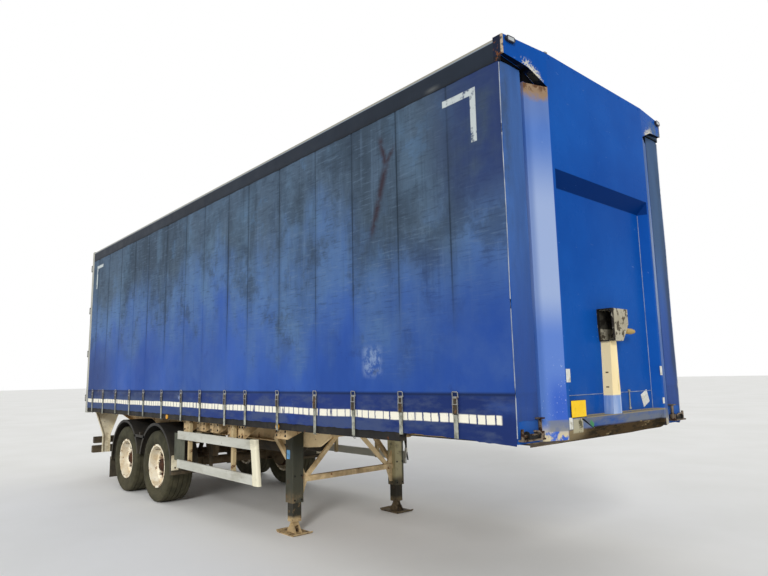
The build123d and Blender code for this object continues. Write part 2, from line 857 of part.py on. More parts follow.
finish(rear_hangers, "rear_hangers")

with BuildPart() as rear_bumper:
    for low_z, height, inset in (
        (board_low_z, board_height, board_inset),
        (bar_low_z, bar_height, bar_inset),
    ):
        with BuildSketch(Plane.YZ.offset(hanger_x)):
            with Locations((0, low_z + height / 2)):
                RectangleRounded(2 * (half_width - inset), height, bumper_round)
        extrude(amount=-bumper_depth)
finish(rear_bumper, "rear_bumper")

lamp_inset = 425
lamp_length = 360
lamp_height = 100
lamp_depth = 18
lamp_round = 14
with BuildPart() as rear_lamps:
    with BuildSketch(Plane.YZ.offset(hanger_x - bumper_depth)):
        lamp_y = half_width - lamp_inset
        lamp_z = board_low_z + board_height / 2
        with Locations((lamp_y, lamp_z), (-lamp_y, lamp_z)):
            RectangleRounded(lamp_length, lamp_height, lamp_round)
    extrude(amount=-lamp_depth)
finish(rear_lamps, "rear_lamps")

# Marker lamps: round ones along the raves, and oval ones on the header's swept corners
side_lamp_setbacks = (3118, 6020)
side_lamp_radius = 30
side_lamp_depth = 9
front_lamp_inset = 78
front_lamp_drop = 30
front_lamp_length = 100
front_lamp_height = 44
front_lamp_depth = 20
header_angle = degrees(atan2(header_sweep, half_width - panel_half_width))
front_lamp_y = half_width - front_lamp_inset
front_lamp_back = header_sweep * (front_lamp_y - panel_half_width) / (half_width - panel_half_width)
front_lamp_plane = Plane(
    origin=(x_at(front_lamp_back), front_lamp_y, roof_top_z - front_lamp_drop),
    x_dir=Vector(0, 1, 0).rotate(Axis.Z, header_angle),
    z_dir=Vector(1, 0, 0).rotate(Axis.Z, header_angle),
)
side_lamp_z = rave_low_z + side_lamp_radius
with BuildPart() as marker_lamps:
    with BuildSketch(Plane.XZ.offset(-rave_outer_y)):
        with Locations(*[(x_at(setback), side_lamp_z) for setback in side_lamp_setbacks]):
            Circle(side_lamp_radius)
    extrude(amount=-side_lamp_depth)
    with BuildSketch(front_lamp_plane):
        SlotOverall(front_lamp_length, front_lamp_height)
    extrude(amount=front_lamp_depth)
    mirror(about=Plane.XZ)
finish(marker_lamps, "marker_lamps")

# Curtain tensioners: a pole with its ratchet and handle, between two plates on the post's face
shelf_rise = 20
shelf_reach = 54
shelf_thickness = 12
ear_gap = 10
ear_thickness = 10
ear_width = 60
pole_ahead = 28
pole_inset = 24
pole_radius = 13
ratchet_radius = 27
ratchet_height = 46
handle_reach = 115
handle_depth = 16
handle_height = 20
corner_pole_radius = 11
corner_pole_height = 70
shelf_low_z = post_low_z + shelf_rise
ratchet_low_z = shelf_low_z + shelf_thickness
ratchet_mid_z = ratchet_low_z + ratchet_height / 2
ear_low_z = curtain_return_low_z - ear_gap - ear_thickness
pole_back = curtain_back - pole_ahead
pole_y = pillar_slot_y + pole_inset
shelf_y = (pillar_slot_y + rave_outer_y) / 2
with BuildPart() as curtain_tensioners:
    with BuildSketch(Plane.XY.offset(shelf_low_z)):
        with Locations((x_at(curtain_back - shelf_reach / 2), shelf_y)):
            Rectangle(shelf_reach, rave_outer_y - pillar_slot_y)
    extrude(amount=shelf_thickness)
    with BuildSketch(Plane.XY.offset(ear_low_z)):
        with Locations((x_at(curtain_back - shelf_reach / 2), pole_y)):
            Rectangle(shelf_reach, ear_width - pole_radius)
    extrude(amount=ear_thickness)
    for x, y, radius, top_z in (
        (x_at(pole_back), pole_y, pole_radius, ear_low_z),
        (x_at(pole_back), pole_y, ratchet_radius, ratchet_low_z + ratchet_height),
        (
            x_at(pole_back),
            rave_outer_y - corner_pole_radius,
            corner_pole_radius,
            ratchet_low_z + corner_pole_height,
        ),
    ):
        with BuildSketch(Plane.XY.offset(ratchet_low_z)):
            with Locations((x, y)):
                Circle(radius)
        extrude(amount=top_z - ratchet_low_z)
    with Locations((x_at(pole_back), pole_y + handle_reach / 2, ratchet_mid_z)):
        Box(handle_depth, handle_reach, handle_height)
    mirror(about=Plane.XZ)
finish(curtain_tensioners, "curtain_tensioners")

# Service duct up the recess, and the hooded bracket that carries the line coupling
duct_edges = (-128, -5)
duct_draft = 10
duct_height = 640
bracket_edges = (-143, 118)
bracket_height = 260
bracket_taper = 132
bracket_wall = 6
bracket_foot_draft = 20
line_rise = 86
line_ahead = 10
line_steps = ((12, 72, 130), (24, 130, 235), (17, 235, 276))
duct_right_y, duct_left_y = duct_edges
bracket_right_y, bracket_left_y = bracket_edges
duct_top_z = deck_top_z + duct_height
bracket_top_z = duct_top_z + bracket_height
bracket_taper_z = duct_top_z + bracket_taper
with BuildPart() as service_duct:
    with BuildSketch(outer_side(recess_depth)):
        Polygon(
            (duct_right_y, front_wall_low_z),
            (duct_left_y + duct_draft, front_wall_low_z),
            (duct_left_y, duct_top_z),
            (duct_right_y + 2 * duct_draft, duct_top_z),
            align=None,
        )
    extrude(amount=recess_depth)
finish(service_duct, "service_duct")

with BuildPart() as coupling_bracket:
    with BuildSketch(outer_side(recess_depth)):
        Polygon(
            (bracket_right_y, bracket_top_z),
            (bracket_left_y, bracket_top_z),
            (bracket_left_y, bracket_taper_z),
            (duct_left_y + bracket_foot_draft, duct_top_z),
            (duct_right_y, duct_top_z),
            (bracket_right_y, bracket_taper_z),
            align=None,
        )
    extrude(amount=recess_depth + coupling_reach)
    with BuildSketch(outer_side(recess_depth - bracket_wall)):
        Polygon(
            (bracket_right_y - bracket_wall, bracket_top_z - bracket_wall),
            (bracket_left_y - bracket_wall, bracket_top_z - bracket_wall),
            (bracket_left_y - bracket_wall, bracket_taper_z),
            (duct_left_y + bracket_foot_draft - bracket_wall, duct_top_z + bracket_wall),
            (duct_right_y - bracket_foot_draft, duct_top_z + bracket_wall),
            (bracket_right_y - bracket_wall, bracket_taper_z - bracket_foot_draft),
            align=None,
        )
    extrude(amount=recess_depth + coupling_reach - 2 * bracket_wall, mode=Mode.SUBTRACT)
    for radius, near_y, far_y in line_steps:
        with BuildSketch(Plane.XZ.offset(-near_y)):
            with Locations((x_at(-line_ahead), duct_top_z + line_rise)):
                Circle(radius)
        extrude(amount=near_y - far_y)
finish(coupling_bracket, "coupling_bracket")

# Landing legs: outer tubes, bored for the inner ones
leg_inner_tube = leg_tube - 2 * leg_wall
leg_x = x_at(leg_setback)
with BuildPart() as leg_housings:
    with BuildSketch(Plane.XY.offset(leg_low_z)):
        with Locations((leg_x, leg_y)):
            RectangleRounded(leg_tube, leg_tube, leg_round)
    extrude(amount=leg_top_z - leg_low_z)
    with BuildSketch(Plane.XY.offset(leg_low_z)):
        with Locations((leg_x, leg_y)):
            Rectangle(leg_inner_tube, leg_inner_tube)
    extrude(amount=leg_inner_top_z - leg_low_z, mode=Mode.SUBTRACT)
    mirror(about=Plane.XZ)
finish(leg_housings, "leg_housings")

# Feet: turned-up soles, and cheeks with the pin through the inner tube's eye
eye_side_gap = 2
cheek_wall = 10
cheek_rim = 14
cheek_spread = 95
pin_end = 8
cheek_gap = foot_eye_half_width + eye_side_gap
with BuildPart() as leg_feet:
    with BuildSketch(Plane.XY.offset(foot_pin_z + foot_eye_radius)):
        with Locations((leg_x, leg_y)):
            Rectangle(leg_inner_tube, leg_inner_tube)
    extrude(amount=leg_inner_top_z - foot_pin_z - foot_eye_radius)
    with BuildSketch(Plane.XZ.offset(-leg_y)):
        with Locations((leg_x, foot_pin_z)):
            Circle(foot_eye_radius)
        with Locations((leg_x, foot_pin_z + foot_eye_radius / 2)):
            Rectangle(2 * foot_eye_radius, foot_eye_radius)
    extrude(amount=foot_eye_half_width, both=True)
    with BuildSketch(Plane.XZ.offset(-leg_y)):
        sole_half = foot_length / 2
        Polygon(
            (leg_x - sole_half, foot_rise + foot_plate),
            (leg_x - sole_half, foot_rise),
            (leg_x - sole_half + foot_lip, 0),
            (leg_x + sole_half - foot_lip, 0),
            (leg_x + sole_half, foot_rise),
            (leg_x + sole_half, foot_rise + foot_plate),
            (leg_x + sole_half - foot_lip, foot_plate),
            (leg_x - sole_half + foot_lip, foot_plate),
            align=None,
        )
    extrude(amount=foot_width / 2, both=True)
    for cheek_y in (leg_y - cheek_gap - cheek_wall, leg_y + cheek_gap):
        with BuildSketch(Plane.XZ.offset(-cheek_y)):
            with Locations((leg_x, foot_pin_z)):
                Circle(foot_pin_radius + cheek_rim)
            Polygon(
                (leg_x - cheek_spread, foot_plate),
                (leg_x + cheek_spread, foot_plate),
                (leg_x + foot_pin_radius + cheek_rim, foot_pin_z),
                (leg_x - foot_pin_radius - cheek_rim, foot_pin_z),
                align=None,
            )
        extrude(amount=-cheek_wall)
    with BuildSketch(Plane.XZ.offset(-leg_y)):
        with Locations((leg_x, foot_pin_z)):
            Circle(foot_pin_radius)
    extrude(amount=cheek_gap + cheek_wall + pin_end, both=True)
    mirror(about=Plane.XZ)
finish(leg_feet, "leg_feet")

# Cross tie, braces and the tube between the beams that they hang from
brace_foot_y = leg_inner_face_y - brace_foot_inset
brace_run = brace_foot_y - brace_head_y
brace_rise = leg_cross_tube_low_z - tie_z
brace_half = brace_width / 2 * hypot(brace_run, brace_rise) / brace_rise
with BuildPart() as leg_braces:
    with Locations((leg_x, 0, tie_z)):
        Box(tie_size, 2 * leg_inner_face_y, tie_size)
    with Locations((leg_x, 0, leg_cross_tube_low_z + leg_cross_tube_height / 2)):
        Box(leg_cross_tube_height, 2 * beam_y - beam_flange_width, leg_cross_tube_height)
    with BuildSketch(Plane.YZ.offset(leg_x)):
        Polygon(
            (brace_foot_y - brace_half, tie_z),
            (brace_foot_y + brace_half, tie_z),
            (brace_head_y + brace_half, leg_cross_tube_low_z),
            (brace_head_y - brace_half, leg_cross_tube_low_z),
            align=None,
        )
        Polygon(
            (leg_inner_face_y, tie_z - 2 * gusset_reach),
            (leg_inner_face_y, tie_z + 2 * gusset_reach),
            (leg_inner_face_y - gusset_reach / 2, tie_z + gusset_reach),
            (leg_inner_face_y - gusset_reach, tie_z),
            (leg_inner_face_y - gusset_reach / 4, tie_z - 2 * gusset_reach),
            align=None,
        )
    extrude(amount=brace_width / 4, both=True)
    mirror(about=Plane.XZ)
finish(leg_braces, "leg_braces")

# Side brackets that bolt the legs to the beams, with the diagonal stays behind the legs
bracket_root_gap = 4
bracket_line = ((-550, 5), (-150, -15), (150, -15), (370, 5))
bracket_nose = 570
bracket_nose_drop = 45
stay_foot_z = 660
stay_head = (-470, 55)
stay_depth = 54
stay_thickness = 50
leg_bracket_top_z = outrigger_root_z - bracket_root_gap
with BuildPart() as leg_brackets:
    with BuildSketch(Plane.XZ.offset(-leg_inner_face_y)):
        Polygon(
            (leg_x + bracket_line[0][0], leg_bracket_top_z),
            *[(leg_x + ahead, beam_low_z + rise) for ahead, rise in bracket_line],
            (leg_x + bracket_nose, leg_bracket_top_z - bracket_nose_drop),
            (leg_x + bracket_nose, leg_bracket_top_z),
            align=None,
        )
    extrude(amount=leg_bracket_thickness)
    with BuildSketch(Plane.XZ.offset(-leg_inner_face_y)):
        head_x, head_z = leg_x + stay_head[0], beam_low_z + stay_head[1]
        Polygon(
            (leg_x - leg_tube / 2, stay_foot_z - stay_depth / 2),
            (leg_x - leg_tube / 2, stay_foot_z + stay_depth / 2),
            (head_x + stay_depth / 2, head_z + stay_depth / 2),
            (head_x - stay_depth / 2, head_z),
            align=None,
        )
    extrude(amount=-stay_thickness)
    mirror(about=Plane.XZ)
finish(leg_brackets, "leg_brackets")

# Gearbox and folded crank handle on the left leg, and the shaft across to the right leg
crank_rise = 15
crank_reach = 70
crank_arm = 190
crank_arm_radius = 12
crank_grip = 120
crank_grip_radius = 19
gearbox_length = 110
gearbox_depth = 62
gearbox_height = 240
gearbox_shift = 60
crank_z = beam_low_z + crank_rise
crank_y = leg_y + leg_tube / 2
crank_arm_y = crank_y + gearbox_depth + crank_reach - shaft_radius
with BuildPart() as leg_crank:
    with Locations((leg_x, crank_y + gearbox_depth / 2, crank_z + gearbox_shift)):
        Box(gearbox_length, gearbox_depth, gearbox_height)
    with BuildSketch(Plane.XZ.offset(-crank_y - gearbox_depth)):
        with Locations((leg_x, crank_z)):
            Circle(shaft_radius)
    extrude(amount=-crank_reach)
    for top_z, radius, length in (
        (crank_z, crank_arm_radius, crank_arm),
        (crank_z - crank_arm, crank_grip_radius, crank_grip),
    ):
        with BuildSketch(Plane.XY.offset(top_z)):
            with Locations((leg_x, crank_arm_y)):
                Circle(radius)
        extrude(amount=-length)
    with BuildSketch(Plane.XZ.offset(leg_inner_face_y)):
        with Locations((leg_x, shaft_z)):
            Circle(shaft_radius)
    extrude(amount=-2 * leg_inner_face_y)
finish(leg_crank, "leg_crank")

# Side guards: two rails a side with a rounded front cap that leans back, on posts under the raves
guard_cap_low_z = guard_rail_z[0] - 2
guard_cap_high_z = guard_rail_z[1] + guard_rail_height + 8
guard_cap_depth = 2 * guard_rail_thickness
guard_cap_proud = 5
guard_cap_round = 25
guard_cap_height = guard_cap_high_z - guard_cap_low_z
guard_post_y = guard_rail_outer_y - guard_rail_thickness - guard_post_depth / 2
with BuildPart() as side_guards:
    for side, hand in sides:
        cap_front_x = x_at(leg_setback + guard_cap_behind_leg[side])
        rail_front_x = cap_front_x - guard_cap_length[side]
        rail_rear_x = x_at(guard_rail_rear)
        for rail_z in guard_rail_z:
            with BuildSketch(Plane.YZ.offset(rail_rear_x)):
                rail_y = hand * (guard_rail_outer_y - guard_rail_thickness / 2)
                with Locations((rail_y, rail_z + guard_rail_height / 2)):
                    Rectangle(guard_rail_thickness, guard_rail_height)
            extrude(amount=rail_front_x - rail_rear_x)
        with BuildSketch(Plane.XY.offset(guard_cap_low_z)):
            cap_y = hand * (guard_rail_outer_y + guard_cap_proud - guard_cap_depth / 2)
            with Locations(((cap_front_x + rail_front_x) / 2, cap_y)):
                RectangleRounded(guard_cap_length[side], guard_cap_depth, guard_cap_round)
        cap_run = hypot(guard_cap_height, guard_cap_lean)
        extrude(amount=cap_run, dir=(-guard_cap_lean, 0, guard_cap_height))
        with BuildSketch(Plane.XY.offset(guard_rail_z[0])):
            for post_x in (rail_front_x - guard_front_post[side], rail_rear_x + guard_rear_post):
                with Locations((post_x, hand * guard_post_y)):
                    Rectangle(guard_post_width, guard_post_depth)
        extrude(amount=rave_low_z - guard_rail_z[0])
finish(side_guards, "side_guards")

# Wheels: tyre, rim and hub with its brake drum, each turned about the wheel's own axis
tyre_bulge = 95
tyre_shoulder = (26, 16)
tyre_edge = (7, 34)
with BuildPart() as tyre:
    with BuildSketch():
        with BuildLine():
            bead = (rim_seat_radius, rim_half_width)
            flange_top = (rim_flange_radius, rim_half_width)
            bulge = (rim_flange_radius + tyre_bulge, tyre_half_width)
            shoulder = (tyre_radius - tyre_shoulder[0], tyre_half_width - tyre_shoulder[1])
            tread_edge = (tyre_radius - tyre_edge[0], tyre_half_width - tyre_edge[1])
            Polyline((bead[0], -bead[1]), bead, flange_top)
            ThreePointArc(flange_top, bulge, shoulder)
            Line(shoulder, tread_edge)
            ThreePointArc(tread_edge, (tyre_radius, 0), (tread_edge[0], -tread_edge[1]))
            Line((tread_edge[0], -tread_edge[1]), (shoulder[0], -shoulder[1]))
            ThreePointArc(
                (shoulder[0], -shoulder[1]), (bulge[0], -bulge[1]), (flange_top[0], -flange_top[1])
            )
            Line((flange_top[0], -flange_top[1]), (bead[0], -bead[1]))
        make_face()
    revolve(axis=Axis.Y)

barrel_wall = 11
disc_face = 72
disc_wall = 13
disc_root = 46
disc_back = 20
hand_hole_margin = 7.5
hand_hole_count = 10
disc_radius = hub_spigot_radius + disc_face
rim_outer = rim_half_width + rim_flange_thickness
barrel_radius = rim_seat_radius - barrel_wall
hand_hole_radius = (barrel_radius - disc_radius) / 2 - hand_hole_margin
with BuildPart() as rim:
    with BuildSketch():
        Polygon(
            (rim_seat_radius, -rim_half_width),
            (rim_seat_radius, rim_half_width),
            (rim_flange_radius, rim_half_width),
            (rim_flange_radius, rim_outer),
            (barrel_radius, rim_outer),
            (barrel_radius, disc_root),
            (disc_radius, disc_wall),
            (hub_spigot_radius, disc_wall),
            (hub_spigot_radius, 0),
            (disc_radius, 0),
            (barrel_radius, disc_back),
            (barrel_radius, -rim_outer),
            (rim_flange_radius, -rim_outer),
            (rim_flange_radius, -rim_half_width),
            align=None,
        )
    revolve(axis=Axis.Y)
    with BuildSketch(Plane.XZ):
        with PolarLocations((disc_radius + barrel_radius) / 2, hand_hole_count):
            Circle(hand_hole_radius)
    extrude(amount=rim_half_width, both=True, mode=Mode.SUBTRACT)

hub_flange_lap = 38
hub_flange_wall = 22
hub_barrel_radius = 92
hub_barrel_reach = 62
hub_cap_radius = 74
hub_cap_reach = 104
hub_cap_bevel = 13
hub_root_flare = 18
hub_back_inset = 30
bore_floor = 12
drum_shoulder = 12
drum_floor = 22
bore_radius = spindle_radius + spindle_clearance
bore_end = hub_barrel_reach - bore_floor
with BuildPart() as hub:
    with BuildSketch():
        Polygon(
            (0, bore_end),
            (0, hub_cap_reach),
            (hub_cap_radius - hub_cap_bevel, hub_cap_reach),
            (hub_cap_radius, hub_cap_reach - hub_cap_bevel),
            (hub_cap_radius, hub_barrel_reach),
            (hub_barrel_radius, hub_barrel_reach),
            (hub_barrel_radius + hub_root_flare, disc_wall),
            (hub_spigot_radius, disc_wall),
            (hub_spigot_radius, 0),
            (hub_spigot_radius + hub_flange_lap, 0),
            (hub_spigot_radius + hub_flange_lap, -hub_flange_wall),
            (drum_radius, -hub_flange_wall - drum_shoulder),
            (drum_radius, -drum_inner_reach),
            (drum_radius - drum_wall, -drum_inner_reach),
            (drum_radius - drum_wall, -hub_flange_wall - drum_floor),
            (hub_barrel_radius, -hub_flange_wall - drum_floor),
            (hub_barrel_radius, -drum_inner_reach + hub_back_inset),
            (bore_radius, -drum_inner_reach + hub_back_inset),
            (bore_radius, bore_end),
            align=None,
        )
    revolve(axis=Axis.Y)

for axle, setback in axle_setbacks.items():
    for side, hand in sides:
        for piece, node in ((tyre, "tyre"), (rim, "rim"), (hub, "hub")):
            turned = piece.part if hand > 0 else piece.part.rotate(Axis.Z, 180)
            with BuildPart() as fitted:
                with Locations((x_at(setback), hand * wheel_y, tyre_radius)):
                    add(turned)
            finish(fitted, f"{node}_{axle}_{side}")

# Axle beams: tube, spindles and brake back plates
back_plate_inset = 8
back_plate_wall = 8
back_plate_gap = 16
spindle_end_gap = 8
back_plate_y = wheel_y - drum_inner_reach - back_plate_gap
spindle_end_y = wheel_y + bore_end - spindle_end_gap

# Brake gear inboard of each arm: camshaft, slack adjuster, and the air chamber that works it
cam_behind = 125
cam_radius = 19
cam_end_y = 400
lever_reach = 140
lever_width = 24
lever_eye_radius = 32
lever_tip_radius = 16
push_rod_radius = 8
chamber_radius = 75
chamber_length = 140
chamber_bevel = 14
chamber_band = 6
chamber_band_half = 12
chamber_plate = 12
chamber_plate_width = 110
chamber_plate_rise = 60
chamber_y = cam_end_y + lever_width / 2
chamber_z = tyre_radius + lever_reach
with BuildPart() as brake_chamber:
    with BuildSketch(Plane.XZ):
        band_start = chamber_length / 2 - chamber_band_half
        band_end = chamber_length / 2 + chamber_band_half
        Polygon(
            (0, 0),
            (0, chamber_radius - chamber_bevel),
            (chamber_bevel, chamber_radius),
            (band_start, chamber_radius),
            (band_start, chamber_radius + chamber_band),
            (band_end, chamber_radius + chamber_band),
            (band_end, chamber_radius),
            (chamber_length - chamber_bevel, chamber_radius),
            (chamber_length, chamber_radius - chamber_bevel),
            (chamber_length, 0),
            align=None,
        )
    revolve(axis=Axis.X)

with BuildPart() as axle_beam:
    with BuildSketch(Plane.XZ):
        with Locations((0, tyre_radius)):
            Circle(axle_tube_radius)
    extrude(amount=back_plate_y, both=True)
    for radius, near_y, far_y in (
        (drum_radius - back_plate_inset, back_plate_y, back_plate_y + back_plate_wall),
        (spindle_radius, back_plate_y, spindle_end_y),
    ):
        with BuildSketch(Plane.XZ.offset(-near_y)):
            with Locations((0, tyre_radius)):
                Circle(radius)
        extrude(amount=near_y - far_y)
    with BuildSketch(Plane.XZ.offset(-cam_end_y)):
        with Locations((-cam_behind, tyre_radius)):
            Circle(cam_radius)
    extrude(amount=cam_end_y - back_plate_y)
    with BuildSketch(Plane.XZ.offset(-cam_end_y)):
        with Locations((-cam_behind, tyre_radius)):
            Circle(lever_eye_radius)
        with Locations((-cam_behind, chamber_z)):
            Circle(lever_tip_radius)
        Polygon(
            (-cam_behind - lever_eye_radius, tyre_radius),
            (-cam_behind + lever_eye_radius, tyre_radius),
            (-cam_behind + lever_tip_radius, chamber_z),
            (-cam_behind - lever_tip_radius, chamber_z),
            align=None,
        )
    extrude(amount=-lever_width)
    with BuildSketch(Plane.YZ.offset(-cam_behind)):
        with Locations((chamber_y, chamber_z)):
            Circle(push_rod_radius)
    extrude(amount=cam_behind)
    with Locations((chamber_plate / 2, chamber_y, (tyre_radius + chamber_z + chamber_plate_rise) / 2)):
        Box(chamber_plate, chamber_plate_width, chamber_z + chamber_plate_rise - tyre_radius)
    with Locations((chamber_plate, chamber_y, chamber_z)):
        add(brake_chamber.part)
    mirror(about=Plane.XZ)

with BuildPart() as axles:
    with Locations(*[(x_at(setback), 0, 0) for setback in axle_setbacks.values()]):
        add(axle_beam.part)
finish(axles, "axles")

# Suspension: hanger brackets, trailing arms clamped to the axles, air springs under the beams
# and shock absorbers inboard of the arms
hanger_inner_half = arm_width / 2 + arm_side_gap
hanger_outer_half = hanger_inner_half + hanger_wall
pin_head = 14
with BuildPart() as hanger_bracket:
    with BuildSketch(Plane.XZ):
        with Locations((arm_pivot_ahead, arm_pivot_z)):
            Circle(hanger_foot_radius)
        Polygon(
            (arm_pivot_ahead - hanger_foot_radius, arm_pivot_z),
            (arm_pivot_ahead + hanger_foot_radius, arm_pivot_z),
            (arm_pivot_ahead + hanger_top_half, beam_low_z),
            (arm_pivot_ahead - hanger_top_half, beam_low_z),
            align=None,
        )
    extrude(amount=hanger_outer_half, both=True)
    with BuildSketch(Plane.XZ):
        hanger_face = arm_pivot_ahead + hanger_foot_radius - hanger_wall
        hanger_back = arm_pivot_ahead - 2 * hanger_top_half
        Polygon(
            (hanger_back, arm_pivot_z - 2 * hanger_foot_radius),
            (hanger_face, arm_pivot_z - 2 * hanger_foot_radius),
            (hanger_face, arm_pivot_z),
            (arm_pivot_ahead + hanger_top_half - 2 * hanger_wall, beam_low_z - hanger_wall),
            (hanger_back, beam_low_z - hanger_wall),
            align=None,
        )
    extrude(amount=hanger_inner_half, both=True, mode=Mode.SUBTRACT)
    with BuildSketch(Plane.XZ):
        with Locations((arm_pivot_ahead, arm_pivot_z)):
            Circle(arm_pin_radius)
    extrude(amount=hanger_outer_half + pin_head, both=True)

arm_flat_half = 115
arm_rear_drop = 16
spring_seat_ahead = 90
spring_seat_behind = 95
seat_half_length = 75
seat_depth = 46
clamp_half_width = 62
clamp_plate = 12
clamp_overhang = 16
clamp_rod_radius = 8
arm_seat_z = tyre_radius + axle_tube_radius + axle_seat_height
arm_rear_z = arm_seat_z - arm_rear_drop
arm_line = [
    (arm_pivot_ahead, arm_pivot_z - arm_thickness / 2),
    (arm_flat_half, arm_seat_z),
    (-arm_flat_half, arm_seat_z),
    (-spring_behind + spring_seat_ahead, arm_rear_z),
    (-spring_behind - spring_seat_behind, arm_rear_z),
]
clamp_low_z = tyre_radius - axle_tube_radius - clamp_plate
clamp_high_z = arm_seat_z + arm_thickness + clamp_plate
clamp_rod_y = clamp_half_width - clamp_rod_radius
with BuildPart() as trailing_arm:
    with BuildSketch(Plane.XZ):
        Polygon(*arm_line, *[(x, z + arm_thickness) for x, z in reversed(arm_line)], align=None)
        with Locations((arm_pivot_ahead, arm_pivot_z)):
            Circle(arm_eye_radius)
            Circle(arm_pin_radius, mode=Mode.SUBTRACT)
    extrude(amount=arm_width / 2, both=True)
    with Locations((0, 0, arm_seat_z - seat_depth / 2)):
        Box(2 * seat_half_length, 2 * clamp_half_width, seat_depth)
    for plate_z in (clamp_low_z + clamp_plate / 2, clamp_high_z - clamp_plate / 2):
        with Locations((0, 0, plate_z)):
            Box(2 * (seat_half_length + clamp_overhang), 2 * clamp_half_width, clamp_plate)
    with BuildSketch(Plane.XY.offset(clamp_low_z)):
        with GridLocations(2 * seat_half_length, 2 * clamp_rod_y, 2, 2):
            Circle(clamp_rod_radius)
    extrude(amount=clamp_high_z - clamp_low_z)
    with BuildSketch(Plane.XZ):
        with Locations((0, tyre_radius)):
            Circle(axle_tube_radius)
    extrude(amount=arm_width, both=True, mode=Mode.SUBTRACT)

spring_foot_radius = 86
spring_waist_radius = 96
spring_waist_rise = 118
spring_cap_inset = 30
spring_cap_depth = 22
spring_bulge_drop = 100
spring_low_z = arm_rear_z + arm_thickness
spring_cap_radius = spring_radius - spring_cap_inset
with BuildPart() as air_spring:
    with BuildSketch(Plane.XZ):
        with BuildLine():
            Polyline(
                (spring_waist_radius, spring_low_z + spring_waist_rise),
                (spring_foot_radius, spring_low_z),
                (0, spring_low_z),
                (0, beam_low_z),
                (spring_cap_radius, beam_low_z),
                (spring_cap_radius, beam_low_z - spring_cap_depth),
            )
            ThreePointArc(
                (spring_cap_radius, beam_low_z - spring_cap_depth),
                (spring_radius, beam_low_z - spring_bulge_drop),
                (spring_waist_radius, spring_low_z + spring_waist_rise),
            )
        make_face()
    revolve(axis=Axis.Z)

shock_inset = 115
shock_foot_behind = 200
shock_head_ahead = 20
shock_head_rise = 44
shock_eye_radius = 26
shock_eye_half = 24
shock_pin_radius = 12
shock_tube = (32, 0, 0.58)
shock_cover = (40, 0.45, 0.92)
shock_foot_z = arm_seat_z + arm_thickness / 3
shock_head_z = beam_low_z + shock_head_rise
shock_run = shock_head_ahead + shock_foot_behind
shock_length = hypot(shock_run, shock_head_z - shock_foot_z)
shock_ends = (
    (-shock_foot_behind, shock_foot_z, shock_inset - arm_width / 2),
    (shock_head_ahead, shock_head_z, shock_inset - beam_web / 2),
)
shock_line = Plane(
    origin=(-shock_foot_behind, -shock_inset, shock_foot_z),
    x_dir=(0, 1, 0),
    z_dir=(shock_run, 0, shock_head_z - shock_foot_z),
)
with BuildPart() as shock_absorber:
    for radius, low_share, high_share in (shock_tube, shock_cover):
        with BuildSketch(shock_line.offset(low_share * shock_length)):
            Circle(radius)
        extrude(amount=(high_share - low_share) * shock_length)
    with BuildSketch(shock_line):
        Circle(shock_pin_radius)
    extrude(amount=shock_length)
    for x, z, pin_reach in shock_ends:
        with BuildSketch(Plane.XZ.offset(shock_inset)):
            with Locations((x, z)):
                Circle(shock_eye_radius)
        extrude(amount=shock_eye_half, both=True)
        with BuildSketch(Plane.XZ.offset(shock_inset)):
            with Locations((x, z)):
                Circle(shock_pin_radius)
        extrude(amount=-pin_reach)

for piece, node, shift in (
    (hanger_bracket, "hanger_brackets", 0),
    (trailing_arm, "trailing_arms", 0),
    (air_spring, "air_springs", -spring_behind),
    (shock_absorber, "shock_absorbers", 0),
):
    with BuildPart() as fitted:
        with Locations(*[(x_at(setback) + shift, beam_y, 0) for setback in axle_setbacks.values()]):
            add(piece.part)
        mirror(about=Plane.XZ)
    finish(fitted, node)

# Mudguards: one twin guard a side with an outer lip, and a flap behind the rear wheel
wheel_xs = [x_at(setback) for setback in axle_setbacks.values()]
wheel_mid_x = sum(wheel_xs) / 2
stay_outer_y = guard_outer_y - guard_wall
hanger_outer_y = beam_y + hanger_outer_half
flap_x = wheel_xs[1] - guard_reach - stay_size
flap_top_z = guard_low_z + stay_size
flap_place = (
    flap_x - flap_thickness / 2,
    (guard_inner_y + guard_outer_y) / 2,
    (flap_low_z + flap_top_z) / 2,
)


def guard_outline(radius, bridge_z, mode=Mode.ADD):
    """Both wheel arcs with straight skirts, and the bridge between them."""
    with Locations(*[(x, tyre_radius) for x in wheel_xs]):
        Circle(radius, mode=mode)
    with Locations(*[(x, (tyre_radius + guard_low_z) / 2) for x in wheel_xs]):
        Rectangle(2 * radius, tyre_radius - guard_low_z, mode=mode)
    with Locations((wheel_mid_x, (bridge_z + guard_low_z) / 2)):
        Rectangle(axle_spread, bridge_z - guard_low_z, mode=mode)


with BuildPart() as mudguards:
    for depth, near_y in ((guard_wall, guard_inner_y), (guard_lip, guard_outer_y - guard_wall)):
        with BuildSketch(Plane.XZ.offset(-near_y)):
            guard_outline(guard_reach, guard_bridge_z + guard_wall)
            guard_outline(guard_reach - depth, guard_bridge_z + guard_wall - depth, mode=Mode.SUBTRACT)
            with Locations((wheel_mid_x, guard_low_z - guard_radius)):
                Rectangle(axle_spread + 4 * guard_radius, 2 * guard_radius, mode=Mode.SUBTRACT)
        extrude(amount=near_y - guard_outer_y)
    with Locations(flap_place):
        Box(flap_thickness, guard_outer_y - guard_inner_y, flap_top_z - flap_low_z)
    mirror(about=Plane.XZ)
finish(mudguards, "mudguards")

